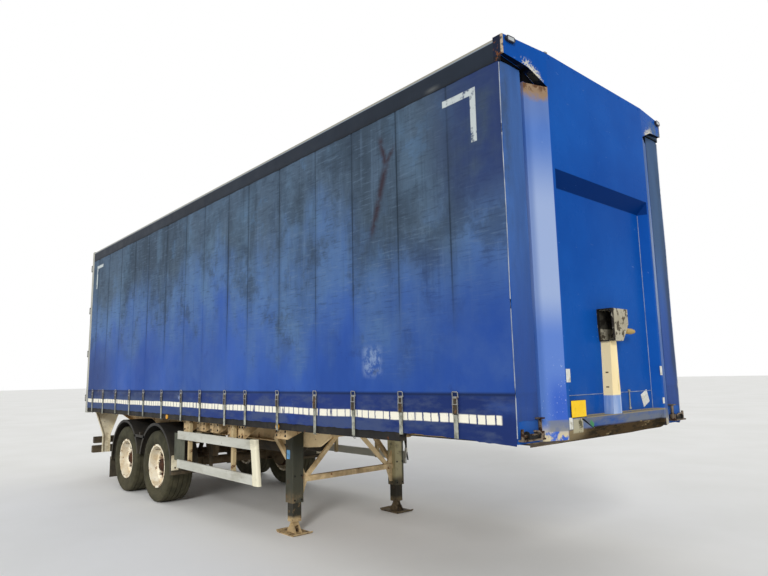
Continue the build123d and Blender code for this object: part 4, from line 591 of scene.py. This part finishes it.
# Two tones, a range of roughness, and what else weathered() lays over them
for name, (first, second, rough, more) in {
    "deck": ((112, 78, 52), (92, 62, 42), (0.5, 0.7), dict(scale=6, grime=((60, 48, 38), 0.4, 3), grain=120)),
    "bows": ((150, 152, 152), (132, 134, 134), (0.4, 0.6), dict(metallic=0.4)),
    # The braces' tan is a lighter copy of the chassis tan, with painted sunlight in it
    "brace": ((250, 226, 180), (230, 202, 154), (0.55, 0.75),
              dict(rust=((132, 88, 54), 0.2, 8), grime=((150, 126, 92), 0.4, 2.5), bump=0.25)),
    # The rave's near-black, without dust, also stands in for painted shade under the curtain's hem
    "rave": ((26, 25, 25), (38, 37, 36), (0.55, 0.75), dict(rust=(RUST, 0.1, 9), grime=((72, 66, 56), 0.2, 6))),
    "black": ((30, 28, 26), (44, 41, 36), (0.5, 0.7),
              dict(rust=(RUST, 0.12, 8), dust=((112, 98, 76), 0.3, 1.2, 0.6), bump=0.25)),
    "axle": ((64, 57, 47), (88, 76, 58), (0.6, 0.8),
             dict(rust=(DARK_RUST, 0.3, 6), dust=((126, 108, 82), 0.2, 1.1, 0.7), bump=0.35)),
    "rubber": ((54, 53, 42), (74, 72, 56), (0.7, 0.85),
               dict(scale=8, dust=((112, 102, 80), 0.1, 0.95, 0.18), bump=0.3, specular=0.1)),
    "plastic": ((34, 33, 31), (46, 44, 41), (0.45, 0.65),
                dict(scale=4, dust=((108, 98, 78), 0.35, 1.15, 0.4), bump=0.3, grain=150)),
    "rear": ((178, 178, 168), (160, 160, 150), (0.4, 0.6), dict(streaks=((110, 104, 88), 0.6), rust=(RUST, 0.1, 6))),
    "cream": ((236, 228, 202), (218, 206, 174), (0.5, 0.7),
              dict(rust=((120, 84, 56), 0.14, 9), grime=((160, 144, 112), 0.4, 4))),
    "zinc": ((168, 168, 164), (140, 140, 136), (0.35, 0.55), dict(metallic=0.7, rust=(RUST, 0.15, 12), scale=14)),
    "steel": ((132, 118, 100), (92, 80, 68), (0.4, 0.7),
              dict(metallic=0.5, rust=(DARK_RUST, 0.45, 14), scale=12, bump=0.35)),
    "red": ((150, 22, 20), (124, 16, 16), (0.15, 0.3), dict(scale=14, grime=((74, 46, 40), 0.3, 8))),
    "rust": ((96, 62, 42), (70, 48, 36), (0.75, 0.9), dict(scale=16, grime=((44, 34, 28), 0.4, 7), bump=0.4)),
    "webbing": ((78, 80, 70), (104, 104, 92), (0.7, 0.9),
                dict(scale=30, grime=((44, 44, 38), 0.4, 12), grain=500, bump=0.4)),
    "buckle": ((74, 66, 54), (54, 48, 40), (0.5, 0.7), dict(metallic=0.3, scale=30, rust=((112, 84, 56), 0.3, 30))),
    "strap_end": ((178, 180, 168), (146, 148, 136), (0.4, 0.6), dict(scale=20, grime=((84, 82, 70), 0.4, 14))),
    "piping": ((168, 174, 184), (96, 112, 146), (0.5, 0.7), dict(scale=7)),
    "yellow": ((250, 206, 24), (244, 196, 18), (0.35, 0.5), dict(scale=12, grime=((176, 140, 40), 0.08, 26))),
    "amber": ((228, 120, 18), (206, 100, 14), (0.15, 0.3), dict(scale=14, grime=((120, 80, 40), 0.25, 9))),
    "dusty": ((96, 98, 84), (72, 74, 64), (0.6, 0.8),
              dict(scale=5, streaks=((52, 50, 42), 0.6), rust=(RUST, 0.06, 12))),
    "worn_tan": ((216, 190, 146), (190, 160, 116), (0.55, 0.8),
                 dict(scale=9, rust=((112, 72, 44), 0.28, 12), grime=((92, 76, 56), 0.35, 6), bump=0.3)),
    "white": ((226, 226, 218), (206, 206, 196), (0.4, 0.6), dict(scale=18, grime=((150, 142, 120), 0.25, 22))),
    "label": ((96, 160, 214), (130, 184, 226), (0.4, 0.6), dict(scale=30, grime=((80, 90, 100), 0.25, 30))),
    "seal": ((26, 26, 26), (38, 38, 36), (0.6, 0.75), dict(scale=20)),
}.items():
    MATERIALS[name] = weathered(name, first, second, rough, **more)

CAD_FINISHES = {
    "front": "front_wall corner_posts header_corners nose_plate",
    "duct": "service_duct",
    "rail": "roof_rails",
    "roof": "roof_skin",
    "bows": "roof_bows",
    "deck": "deck",
    "tan": "main_beams crossmembers",
    "brace": "leg_braces leg_brackets",
    "rave": "side_raves",
    "black": "coupler_plate air_tanks rear_bumper hinge_brackets mudguard_stays",
    "axle": "axles trailing_arms hanger_brackets shock_absorbers",
    "leg": "leg_housings",
    "foot": "leg_feet",
    "crank": "leg_crank",
    "steel": "kingpin curtain_tensioners",
    "hood": "coupling_bracket",
    "rear": "rear_frame door_left_leaf door_right_leaf",
    "cream": "rear_hangers",
    "zinc": "door_left_gear door_right_gear",
    "guard": "side_guards",
    "plastic": "mudguards",
    "rubber": "air_springs",
    "lamp": "marker_lamps",
    "red": "rear_lamps",
}
finish_of = {node: name for name, group in CAD_FINISHES.items() for node in group.split()}
for node in nodes:
    if node.startswith("rim_"):
        finish_of[node] = "rim"
    elif node.startswith("hub_"):
        finish_of[node] = "rust"
for node, name in finish_of.items():
    nodes[node].data.materials.clear()
    nodes[node].data.materials.append(MATERIALS[name])


# ---------------- mesh building
def circle(centre, base, radius, steps, height=0.0):
    """Points round an axis, at a height along it."""
    return [Vector(centre) + base @ Vector((radius * cos(t), radius * sin(t), height))
            for t in (2 * pi * k / steps for k in range(steps))]


def facing(axis):
    """The turn that takes z to this axis."""
    return Vector(axis).normalized().to_track_quat("Z", "Y").to_matrix()


def add_object(name, data):
    made = bpy.data.objects.new(name, data)
    scene.collection.objects.link(made)
    return made


class Shape:
    """One piece's mesh, put together from lofted, turned and swept forms."""

    def __init__(self):
        self.mesh = bmesh.new()
        self.finishes = []

    def loft(self, rings, finish, closed=True, caps=True):
        """Skins rings of points; a ring may be closed, and the ends may be capped."""
        if finish not in self.finishes:
            self.finishes.append(finish)
        rows = [[self.mesh.verts.new(point) for point in ring] for ring in rings]
        faces = []
        for lower, upper in zip(rows, rows[1:]):
            count = len(lower)
            for i in range(count if closed else count - 1):
                j = (i + 1) % count
                faces.append(self.mesh.faces.new((lower[i], lower[j], upper[j], upper[i])))
        if closed and caps:
            faces.append(self.mesh.faces.new(rows[0][::-1]))
            faces.append(self.mesh.faces.new(rows[-1]))
        for face in faces:
            face.material_index = self.finishes.index(finish)

    def block(self, centre, size, finish, chamfer=0.002, turn=None):
        """A box with chamfered edges, turned about its centre."""
        turn = turn or Matrix.Identity(3)
        a, b, c = (extent / 2 for extent in size)
        chamfer = min(chamfer, 0.45 * min(a, b, c))

        def ring(inset, height):
            u, v, k = a - inset, b - inset, chamfer
            corners = ((u - k, -v), (u, k - v), (u, v - k), (u - k, v),
                       (k - u, v), (-u, v - k), (-u, k - v), (k - u, -v))
            return [Vector(centre) + turn @ Vector((x, y, height)) for x, y in corners]

        self.loft([ring(chamfer, -c), ring(0, chamfer - c), ring(0, c - chamfer), ring(chamfer, c)], finish)

    def turned(self, profile, centre, axis, finish, steps=20):
        """A turned form: profile is (radius, height along the axis)."""
        base = facing(axis)
        self.loft([circle(centre, base, max(radius, 0.0002), steps, height) for radius, height in profile], finish)

    def bolt(self, centre, axis, width, finish):
        """A washer with a chamfered hexagon head, pointing along the axis."""
        height = 0.35 * width
        self.turned([(0.62 * width, 0), (0.62 * width, 0.1 * width)], centre, axis, finish, 16)
        self.turned([(0.56 * width, 0.1 * width), (0.56 * width, height), (0.45 * width, height * 1.15)],
                    centre, axis, finish, 6)

    def tube(self, points, radius, finish, sides=10):
        """A round bar along a line of points."""
        points = [Vector(point) for point in points]
        last = len(points) - 1
        self.loft([circle(point, facing(points[min(i + 1, last)] - points[max(i - 1, 0)]), radius, sides)
                   for i, point in enumerate(points)], finish)

    def piece(self, name, body="trailer", sharp=35):
        """Makes the object; edges sharper than so many degrees stay hard."""
        bmesh.ops.remove_doubles(self.mesh, verts=self.mesh.verts, dist=1e-6)
        bmesh.ops.recalc_face_normals(self.mesh, faces=self.mesh.faces)
        data = bpy.data.meshes.new(name)
        self.mesh.to_mesh(data)
        self.mesh.free()
        data.shade_smooth()
        data.set_sharp_from_angle(angle=radians(sharp))
        for finish in self.finishes:
            data.materials.append(MATERIALS[finish])
        made = add_object(name, data)
        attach(made, body)
        return made


# ---------------- curtains
def curtain_relief(x, z, hand):
    """How far the cloth stands out of its flat place, in metres."""
    behind = [strap for strap in STRAP_XS if strap <= x]
    ahead = [strap for strap in STRAP_XS if strap > x]
    low = behind[0] if behind else CURTAIN_REAR_X
    high = ahead[-1] if ahead else CURTAIN_FRONT_X
    share = (x - low) / (high - low)
    rise = (z - CURTAIN_LOW_Z) / (CURTAIN_HIGH_Z - CURTAIN_LOW_Z)
    # billow between the straps, and a crease over each pole
    out = 0.0035 * sin(pi * share) ** 2 * (0.4 + 0.6 * sin(pi * rise))
    for strap in STRAP_XS:
        if abs(x - strap) < 0.06:
            depth = 0.0012 + 0.0026 * min(1.0, max(0.0, (rise - 0.25) / 0.3))
            out -= depth * exp(-((x - strap) / 0.014) ** 2)
    # broad waves, ripples low down and gathers under the rail
    out += 0.0014 * sin(5.1 * x + 1.3 * z + hand) * sin(2.3 * z + 0.6 * x)
    out += 0.0009 * sin(17.0 * x + 2.0 * z) * exp(-4 * rise)
    out += 0.0012 * sin(31.0 * x + 0.8 * sin(3 * x)) * exp(-((1 - rise) / 0.08) ** 2)
    # the band's welded seam and thickness, and the pull of the straps
    out += 0.003 * exp(-((z - BAND_SEAM_Z) / 0.014) ** 2) + (0.0012 if z < 1.55 else 0)
    pull = 0.003 * exp(-((z - 1.33) / 0.09) ** 2)
    return out + pull * sin(2 * pi * share) * sin(9 * share + 2 * hand + x)


def hang_curtain(side, hand):
    """The side sheet from its rear edge round the front corner to the pole."""
    corner = 0.018
    pole_y, side_y = 1.0245, 1.2712
    height = CURTAIN_HIGH_Z - CURTAIN_LOW_Z
    # plan: x, y, the way out in x and y, and the share of the corner's turn
    plan = []
    for i in range(13):
        y = pole_y + (side_y - corner - pole_y) * i / 12
        plan.append((CURTAIN_FRONT_X, y, 1.0, 0.0, 0.0))
    for i in range(1, 6):
        t = pi / 2 * i / 6
        plan.append((CURTAIN_FRONT_X - corner + corner * cos(t), side_y - corner + corner * sin(t),
                     cos(t), sin(t), i / 6))
    stations = {round(CURTAIN_FRONT_X - corner - 0.045 * i, 4) for i in range(214)}
    for strap in STRAP_XS:
        stations |= {round(strap + step, 4) for step in (-0.03, -0.018, -0.009, 0, 0.009, 0.018, 0.03)}
    stations = sorted((x for x in stations if CURTAIN_REAR_X < x <= CURTAIN_FRONT_X - corner), reverse=True)
    for x in stations + [CURTAIN_REAR_X]:
        plan.append((x, side_y, 0.0, 1.0, 1.0))
    rows = [0.0, 0.02, 0.05, 0.09, 0.13, 0.17, 0.21, 0.25, 0.285, 0.297, 0.308, 0.32, 0.335, 0.36]
    rows += [0.4 + (height - 0.4) * i / 38 for i in range(39)]
    grid = []
    for x, y, out_x, out_y, share in plan:
        low = RETURN_LOW_Z + (CURTAIN_LOW_Z - RETURN_LOW_Z) * min(1.0, share * 1.2)
        column = []
        for row in rows:
            z = low + row * (CURTAIN_HIGH_Z - low) / height
            out = curtain_relief(x, z, hand) if share == 1 else 0.0015 * sin(9 * z + 30 * y) * sin(2 * z)
            drop = 0.028 * max(0.0, min(1.0, (x - 3.7) / 1.0)) ** 2 * max(0.0, 1 - row / 0.2)
            fray = 0.0025 * sin(23 * x + 40 * y) + 0.002 * sin(61 * x) if row == 0.0 else 0.0
            column.append((x + out * out_x, hand * (y + out * out_y), z - drop + fray))
        grid.append(column)
    shape = Shape()
    shape.loft(grid, "curtain", closed=False)
    made = shape.piece(f"cloth_{side}", sharp=60)
    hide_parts(f"curtain_{side}")


for side, hand in SIDES.items():
    hang_curtain(side, hand)


# ---------------- straps and buckles
def add_strap(shape, x, hand, chance):
    """Webbing over the curtain's lower edge, an over-centre buckle, a light tail and its hook."""
    face = 1.2805
    turn = Matrix.Rotation(radians(chance.uniform(-1.5, 1.5)), 3, "Y")
    short = x > STRAP_XS[2] + 0.1
    tail_low = chance.uniform(1.236, 1.246) if short else chance.uniform(1.168, 1.2)
    foot = 1.24 if short else 1.17

    def at(u, out, z):
        return (x + u, hand * (face + out), z)

    def ribbon(points, width, thick, finish):
        """Webbing through (out, z) points, folded where they turn."""
        half = width / 2
        shape.loft([[at(-half, out, z), at(half, out, z), at(half, out + thick, z), at(-half, out + thick, z)]
                    for out, z in points], finish)

    ribbon([(0.0006, 1.545), (0.0016, 1.5), (0.0012, 1.44), (0.0024, 1.38), (0.001, 1.34)], 0.044, 0.0022,
           "webbing")
    ribbon([(0.003, 1.41), (0.0036, 1.35), (0.002, 1.29), (0.0025, tail_low)], 0.04, 0.0018, "strap_end")
    loop = [(0.027, 0.002, 1.535), (0.027, 0.006, 1.572), (0.022, 0.0075, 1.5785)]
    shape.tube([at(-u, out, z) for u, out, z in loop] + [at(*point) for point in loop[::-1]], 0.0042, "zinc", 8)
    shape.block(at(0, 0.006, 1.515), (0.05, 0.005, 0.062), "zinc", 0.0012, turn)
    shape.block(at(0, 0.0085, 1.505), (0.03, 0.005, 0.05), "buckle", 0.0012, turn)
    for u in (-0.0245, 0.0245):
        shape.block(at(u, 0.0065, 1.475), (0.0035, 0.009, 0.12), "zinc", 0.001, turn)
    shape.block(at(0, 0.0085, 1.452), (0.046, 0.003, 0.07), "buckle", 0.001, turn)
    shape.turned([(0.005, -0.028), (0.005, 0.028)], at(0, 0.007, 1.487), AHEAD, "zinc", 10)
    hook = ((0.001, 0.035), (0.002, 0.01), (-0.006, 0.001), (-0.02, 0.002))
    shape.tube([at(0, out, foot + rise) for out, rise in hook], 0.0035, "zinc", 8)


for side, hand in SIDES.items():
    chance = Random(11 + hand)
    straps = Shape()
    for strap_x in STRAP_XS:
        add_strap(straps, strap_x, hand, chance)
    made = straps.piece(f"straps_{side}")
    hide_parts("curtain_straps")

piping = Shape()
for hand in SIDES.values():
    line = [(CURTAIN_FRONT_X - 0.004 + 0.0015 * sin(5 * z), hand * 1.2722, z)
            for z in (CURTAIN_LOW_Z + 0.02 + 2.7 * i / 40 for i in range(41))]
    piping.tube(line, 0.0036, "piping", 6)
piping.piece("corner_piping")


# ---------------- wheels
def tyre_rings():
    """Profile of one tyre: (radius, side offset, how deep a shoulder slot cuts it)."""
    half = [(0.286, 0.149, 0), (0.303, 0.150, 0), (0.308, 0.160, 0), (0.317, 0.1665, 0), (0.322, 0.1655, 0),
            (0.328, 0.172, 0), (0.345, 0.180, 0), (0.349, 0.1785, 0), (0.353, 0.1825, 0), (0.38, 0.1885, 0),
            (0.405, 0.1895, 0), (0.409, 0.1878, 0), (0.413, 0.189, 0), (0.436, 0.186, 0), (0.456, 0.1805, 0),
            (0.470, 0.1755, 0.004), (0.482, 0.1705, 0.006), (0.4905, 0.163, 0.006), (0.493, 0.156, 0.004)]
    groove_radius, groove_width = 0.4885, 0.012
    for low, high in ((0.112, 0.146), (0.038, 0.1), (-0.026, 0.026)):
        half += [(TYRE_RADIUS - 0.007 * (y / 0.156) ** 2, y, 0) for y in (high, low) if y > 0]
        if low > 0:
            half += [(groove_radius, low - 0.001, 0), (groove_radius, low + 0.001 - groove_width, 0)]
    return half + [(radius, -y, cut) for radius, y, cut in reversed(half)]


def make_tyre(axle, side, hand):
    """A tyre with its grooves, and a slot across the shoulder at every fourth step."""
    shape = Shape()
    steps = 144
    rings = []
    for radius, y, cut in tyre_rings():
        ring = []
        for k in range(steps):
            t = 2 * pi * k / steps
            r = radius - (cut if k % 4 == 0 else 0)
            ring.append((AXLE_XS[axle] + r * cos(t), hand * (WHEEL_Y + y), WHEEL_Z + r * sin(t)))
        rings.append(ring)
    rings.append(rings[0])
    shape.loft(rings, "rubber", caps=False)
    made = shape.piece(f"road_tyre_{axle}_{side}", f"wheel_{axle}_{side}", 28)
    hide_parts(f"tyre_{axle}_{side}")


def make_nuts(axle, side, hand):
    """Ten wheel nuts, the hub cap's ring and bolts, and the valve."""
    shape = Shape()
    centre = Vector((AXLE_XS[axle], hand * WHEEL_Y, WHEEL_Z))
    out = Vector((0, hand, 0))

    def about(radius, t):
        return Vector((radius * cos(t), 0, radius * sin(t)))

    for k in range(10):
        spot = centre + about(0.1675, 2 * pi * (k + 0.5) / 10) + out * 0.013
        shape.turned([(0.021, 0), (0.021, 0.004)], spot, out, "rust", 16)
        shape.turned([(0.0185, 0.004), (0.0185, 0.028), (0.016, 0.031)], spot, out, "rust", 6)
        shape.turned([(0.0105, 0.03), (0.0105, 0.046), (0.008, 0.049)], spot, out, "steel", 10)
    cap = centre + out * 0.104
    shape.turned([(0.052, -0.002), (0.052, 0.004), (0.046, 0.007), (0.018, 0.007), (0.014, 0.012), (0.001, 0.012)],
                 cap, out, "rust", 28)
    for k in range(6):
        shape.bolt(cap + about(0.062, 2 * pi * k / 6) + out * -0.012, out, 0.012, "steel")
    root = centre + about(0.262, 2.2) + out * 0.05
    shape.tube([root, root + out * 0.05, root + out * 0.075 + Vector((0.004, 0, 0.006))], 0.004, "steel", 8)
    shape.piece(f"wheel_nuts_{axle}_{side}", f"wheel_{axle}_{side}")


for axle in AXLE_XS:
    for side, hand in SIDES.items():
        make_tyre(axle, side, hand)
        make_nuts(axle, side, hand)


# ---------------- front wall details
FRONT_PLATES = (  # low y, high y, low z, high z, x, finish, thickness, cant in degrees
    (-0.7385, -0.5365, 1.3775, 1.5035, FRONT_X, "seal", 0.002, 0),
    (-0.735, -0.54, 1.381, 1.5, FRONT_X + 0.001, "yellow", 0.003, 0),
    (-0.776, -0.722, 1.634, 1.73, FRONT_X, "white", 0.002, 0),
    (-0.772, -0.728, 1.3, 1.382, FRONT_X, "white", 0.002, 0),
    (0.736, 0.776, 1.667, 1.747, FRONT_X, "white", 0.002, 0),
    (0.742, 0.776, 1.42, 1.472, FRONT_X, "white", 0.002, 0),
    (0.52, 0.64, 1.415, 1.53, RECESS_X, "white", 0.002, 22),
)


def make_front_plates():
    """The blank number plate, reflectors and labels."""
    shape = Shape()
    for y0, y1, z0, z1, x, finish, thick, cant in FRONT_PLATES:
        shape.block((x + thick / 2, (y0 + y1) / 2, (z0 + z1) / 2), (thick, y1 - y0, z1 - z0), finish, 0.001,
                    Matrix.Rotation(radians(cant), 3, "X"))
    shape.piece("front_plates")


def make_front_trim():
    """Seams and a drop rod in the recess, rivets and a clip along the header."""
    shape = Shape()
    seam_x, rod_x = RECESS_X + 0.001, RECESS_X + 0.006
    for start, end in (((-0.7, 1.533), (0.7, 1.535)), ((-0.71, 1.385), (-0.71, 3.13)), ((0.71, 1.385), (0.71, 3.13))):
        shape.tube([(seam_x, *start), (seam_x, *end)], 0.0028, "piping", 6)
    shape.tube([(rod_x, 0.29, 1.392), (rod_x, 0.292, 1.55)], 0.006, "zinc", 8)
    for z in (1.4, 1.545):
        shape.block((RECESS_X + 0.005, 0.291, z), (0.012, 0.03, 0.018), "zinc")
    for i in range(9):
        shape.turned([(0.006, 0), (0.005, 0.003)], (FRONT_X, -0.74 + 0.185 * i, 4.155), AHEAD, "front", 10)
    shape.block((FRONT_X - 0.02, -0.78, 4.183), (0.05, 0.035, 0.012), "zinc")
    shape.piece("front_trim")


def make_ratchets():
    """The curtain poles' ratchets at the front corners: two wheels on a shaft, a pawl and a lever."""
    shape = Shape()
    x, z = 4.866, 1.282
    for hand in SIDES.values():
        for y in (1.08, 1.2):
            shape.turned([(0.03, -0.003), (0.034, 0), (0.03, 0.003)], (x, hand * y, z), (0, 1, 0), "seal", 18)
        shape.tube([(x, hand * 1.055, z), (x, hand * 1.235, z)], 0.012, "steel", 12)
        shape.block((4.868, hand * 1.14, 1.268), (0.03, 0.1, 0.034), "seal", 0.004)
        shape.tube([(4.878, hand * 1.085, 1.29), (4.9, hand * 1.1, 1.31), (4.905, hand * 1.17, 1.318)], 0.007,
                   "steel", 8)
        shape.bolt((4.858, hand * 1.01, 1.266), AHEAD, 0.016, "steel")
    shape.piece("curtain_ratchets")


make_front_plates()
make_front_trim()
make_ratchets()

# ---------------- under the body
BRACKETS = ((-0.76, -0.54, 1.02), (-0.35, -0.1, 1.05), (0.03, 0.28, 1.05),  # rear x, front x, low z
            (0.51, 0.67, 1.01), (0.77, 0.91, 1.01), (1.59, 1.83, 1.07))
BRACKET_HIGH_Z = 1.184
FLAP_X, GUARD_WALL_Y = -0.765, (0.864, 1.249, 1.255)


def add_bracket(shape, x0, x1, low, high, hand):
    """A bolted tan bracket under the rave: a face plate, two tapered webs and its bolts."""
    shape.block(((x0 + x1) / 2, hand * 1.158, (low + high) / 2), (x1 - x0, 0.008, high - low), "worn_tan", 0.002)
    for x in (x0 + 0.006, x1 - 0.006):
        inner, outer = hand * 0.98, hand * 1.154
        shape.loft([[(x + u, outer, low), (x + u, outer, high), (x + u, inner, high), (x + u, inner, high - 0.05)]
                    for u in (-0.004, 0.004)], "worn_tan")
    for x in (x0 + 0.035, x1 - 0.035):
        for z in (low + 0.035, high - 0.035):
            shape.bolt((x, hand * 1.162, z), (0, hand, 0), 0.02, "seal")


def make_brackets():
    """The brackets under both raves."""
    shape = Shape()
    for hand in SIDES.values():
        for x0, x1, low in BRACKETS:
            add_bracket(shape, x0, x1, low, BRACKET_HIGH_Z, hand)
    shape.piece("rave_brackets")


def make_flaps():
    """The plate between front mudguard and side guard, with its battens and its cream tab."""
    shape = Shape()
    for hand in SIDES.values():
        shape.block((FLAP_X, hand * 1.213, 0.82), (0.33, 0.008, 0.36), "dusty", 0.003)
        for z in (0.7, 0.94):
            shape.block((FLAP_X, hand * 1.218, z), (0.31, 0.006, 0.02), "dusty", 0.002)
        shape.block((-0.93, hand * 1.2, 0.595), (0.016, 0.1, 0.2), "cream", 0.004)
        for z in (0.53, 0.66):
            shape.bolt((-0.922, hand * 1.2, z), AHEAD, 0.018, "steel")
    shape.piece("guard_flaps")


def make_guard_walls():
    """The mudguards' skirts between the two wheels: a curved strip with a rim, over each tyre."""
    shape = Shape()
    inner, lip, outer = GUARD_WALL_Y
    section = [(0.600, inner), (0.606, inner), (0.606, outer), (0.568, outer), (0.568, lip), (0.600, lip)]
    for hand in SIDES.values():
        for axle, start, end in (("front", 137, 168), ("rear", 43, 12)):
            angles = (radians(start + (end - start) * k / 12) for k in range(13))
            shape.loft([[(AXLE_XS[axle] + r * cos(t), hand * y, WHEEL_Z + r * sin(t)) for r, y in section]
                        for t in angles], "plastic")
    shape.piece("guard_walls")


def make_leg_fittings():
    """A blank label and bolts on the legs, and the crank's bars and white grip on the far one."""
    shape = Shape()
    shape.block((1.3675, -0.851, 0.854), (0.063, 0.002, 0.098), "label", 0.0008)
    for leg_y in (-LEG_Y, LEG_Y):
        for z in (0.36, 0.62, 1.12):
            for u in (-0.045, 0.045):
                shape.bolt((LEG_X + 0.075, leg_y + u, z), AHEAD, 0.018, "seal")
    crank_y = 0.968
    shape.tube([(1.333, 0.962, 0.9), (1.3, crank_y, 0.8), (1.277, crank_y, 0.7)], 0.009, "seal", 8)
    shape.tube([(1.343, crank_y, 0.904), (1.38, crank_y, 0.76), (1.409, crank_y, 0.613)], 0.009, "seal", 8)
    shape.block((1.335, crank_y, 0.902), (0.06, 0.03, 0.03), "seal", 0.004)
    shape.block((1.333, crank_y, 0.645), (0.08, 0.03, 0.16), "white", 0.006)
    shape.tube([(1.277, crank_y, 0.7), (1.32, crank_y, 0.712), (1.395, crank_y, 0.665)], 0.007, "seal", 8)
    shape.piece("leg_fittings")


make_brackets()
make_flaps()
make_guard_walls()
make_leg_fittings()

# ---------------- rear
BOARD_X, LENS_X = -4.882, -4.9015
HINGE_HEIGHTS = [1.425 + 0.815 * i for i in range(4)]


def make_rear_fittings():
    """A blank plate, triangular reflectors, lens segments and bolts on the lamp board."""
    shape = Shape()
    shape.block((BOARD_X - 0.002, 0, 0.651), (0.004, 0.52, 0.106), "yellow", 0.0015)
    for hand in SIDES.values():
        shape.turned([(0.058, 0), (0.058, 0.005), (0.05, 0.009)], (BOARD_X, hand * 0.5, 0.64), BACK, "red", 3)
        shape.block((LENS_X, hand * 0.99, 0.65), (0.005, 0.07, 0.092), "amber", 0.002)
        shape.block((LENS_X, hand * 0.71, 0.65), (0.005, 0.06, 0.092), "white", 0.002)
        for y in (0.755, 0.945):
            shape.block((LENS_X, hand * y, 0.65), (0.004, 0.006, 0.094), "seal", 0.001)
        for y in (0.45, 0.6, 0.75):
            shape.bolt((BOARD_X, hand * y, 0.487), BACK, 0.02, "steel")
    shape.piece("rear_fittings")


def make_door_fittings(side, hand):
    """Hinge bolts, the seal round the leaf and the lock rods' guide bolts."""
    shape = Shape()
    for z in HINGE_HEIGHTS:
        for y in (1.05, 1.12, 1.19):
            for rise in (-0.022, 0.022):
                shape.bolt((-4.952, hand * y, z + rise), BACK, 0.014, "zinc")
    for y0, y1, z0, z1 in ((0.012, 1.238, 1.23, 1.244), (0.012, 1.238, 4.05, 4.064),
                           (0.01, 0.022, 1.23, 4.064), (1.228, 1.24, 1.23, 4.064)):
        shape.block((-4.9415, hand * (y0 + y1) / 2, (z0 + z1) / 2), (0.005, y1 - y0, z1 - z0), "seal", 0.0015)
    for y in (0.253, 0.883):
        for z in (1.5, 2.6475, 3.795):
            for u in (-0.022, 0.022):
                shape.bolt((-4.9605, hand * (y + u), z), BACK, 0.01, "zinc")
    shape.piece(f"door_{side}_fittings", f"door_{side}")


make_rear_fittings()
for side, hand in SIDES.items():
    make_door_fittings(side, hand)


# ---------------- camera, light and floor
CAMERA_PLACE = Vector((7.369, -4.684, 1.696))
CAMERA_YAW, CAMERA_PITCH, CAMERA_ROLL = radians(48.41), radians(8.392), radians(-1.131)
SENSOR_WIDTH, FOCAL_LENGTH = 36.0, 28.357  # millimetres
SUN_FROM = Vector((0.62, -0.68, 0.4))
SKY_LIGHT, SKY_SEEN = 0.68, 1.0  # how bright the world is for the object, and where it is seen


def place_camera():
    """The photograph's camera, fitted to its straight edges."""
    heading = Matrix.Rotation(CAMERA_YAW, 3, "Z")
    forward = heading @ (Matrix.Rotation(CAMERA_PITCH, 3, "X") @ Vector((0, 1, 0)))
    right = heading @ Vector((1, 0, 0))
    right = right * cos(CAMERA_ROLL) + right.cross(forward) * sin(CAMERA_ROLL)
    data = bpy.data.cameras.new("camera")
    data.sensor_width = SENSOR_WIDTH
    data.lens = FOCAL_LENGTH
    rotation = Matrix((right, right.cross(forward), -forward)).transposed().to_4x4()
    scene.camera = add_object("camera", data)
    scene.camera.matrix_world = Matrix.Translation(CAMERA_PLACE) @ rotation


def light_studio():
    """A white world, dimmer where it only lights the object, and one soft sun."""
    world = bpy.data.worlds.new("studio")
    scene.world = world
    world.use_nodes = True
    made, link = world.node_tree.nodes, world.node_tree.links.new
    paths = made.new("ShaderNodeLightPath").outputs
    seen = paths["Is Camera Ray"]
    for kind in ("Is Glossy Ray", "Is Transmission Ray"):
        either = made.new("ShaderNodeMath")
        either.operation = "MAXIMUM"
        link(seen, either.inputs[0])
        link(paths[kind], either.inputs[1])
        seen = either.outputs[0]
    strength = made.new("ShaderNodeMapRange")
    strength.inputs["To Min"].default_value = SKY_LIGHT
    strength.inputs["To Max"].default_value = SKY_SEEN
    link(seen, strength.inputs["Value"])
    made["Background"].inputs["Color"].default_value = (1, 1, 1, 1)
    link(strength.outputs[0], made["Background"].inputs["Strength"])
    sun = bpy.data.lights.new("sun", "SUN")
    sun.energy = 1.6
    sun.angle = 0.25
    add_object("sun", sun).rotation_euler = SUN_FROM.to_track_quat("Z", "Y").to_euler()


place_camera()
light_studio()
bpy.ops.mesh.primitive_plane_add(size=400)
floor = bpy.context.object
floor.data.materials.append(weathered("floor", (240, 240, 238), (234, 234, 231), (0.7, 0.8), scale=0.4, bump=0.05))

scene.view_settings.view_transform = "Standard"
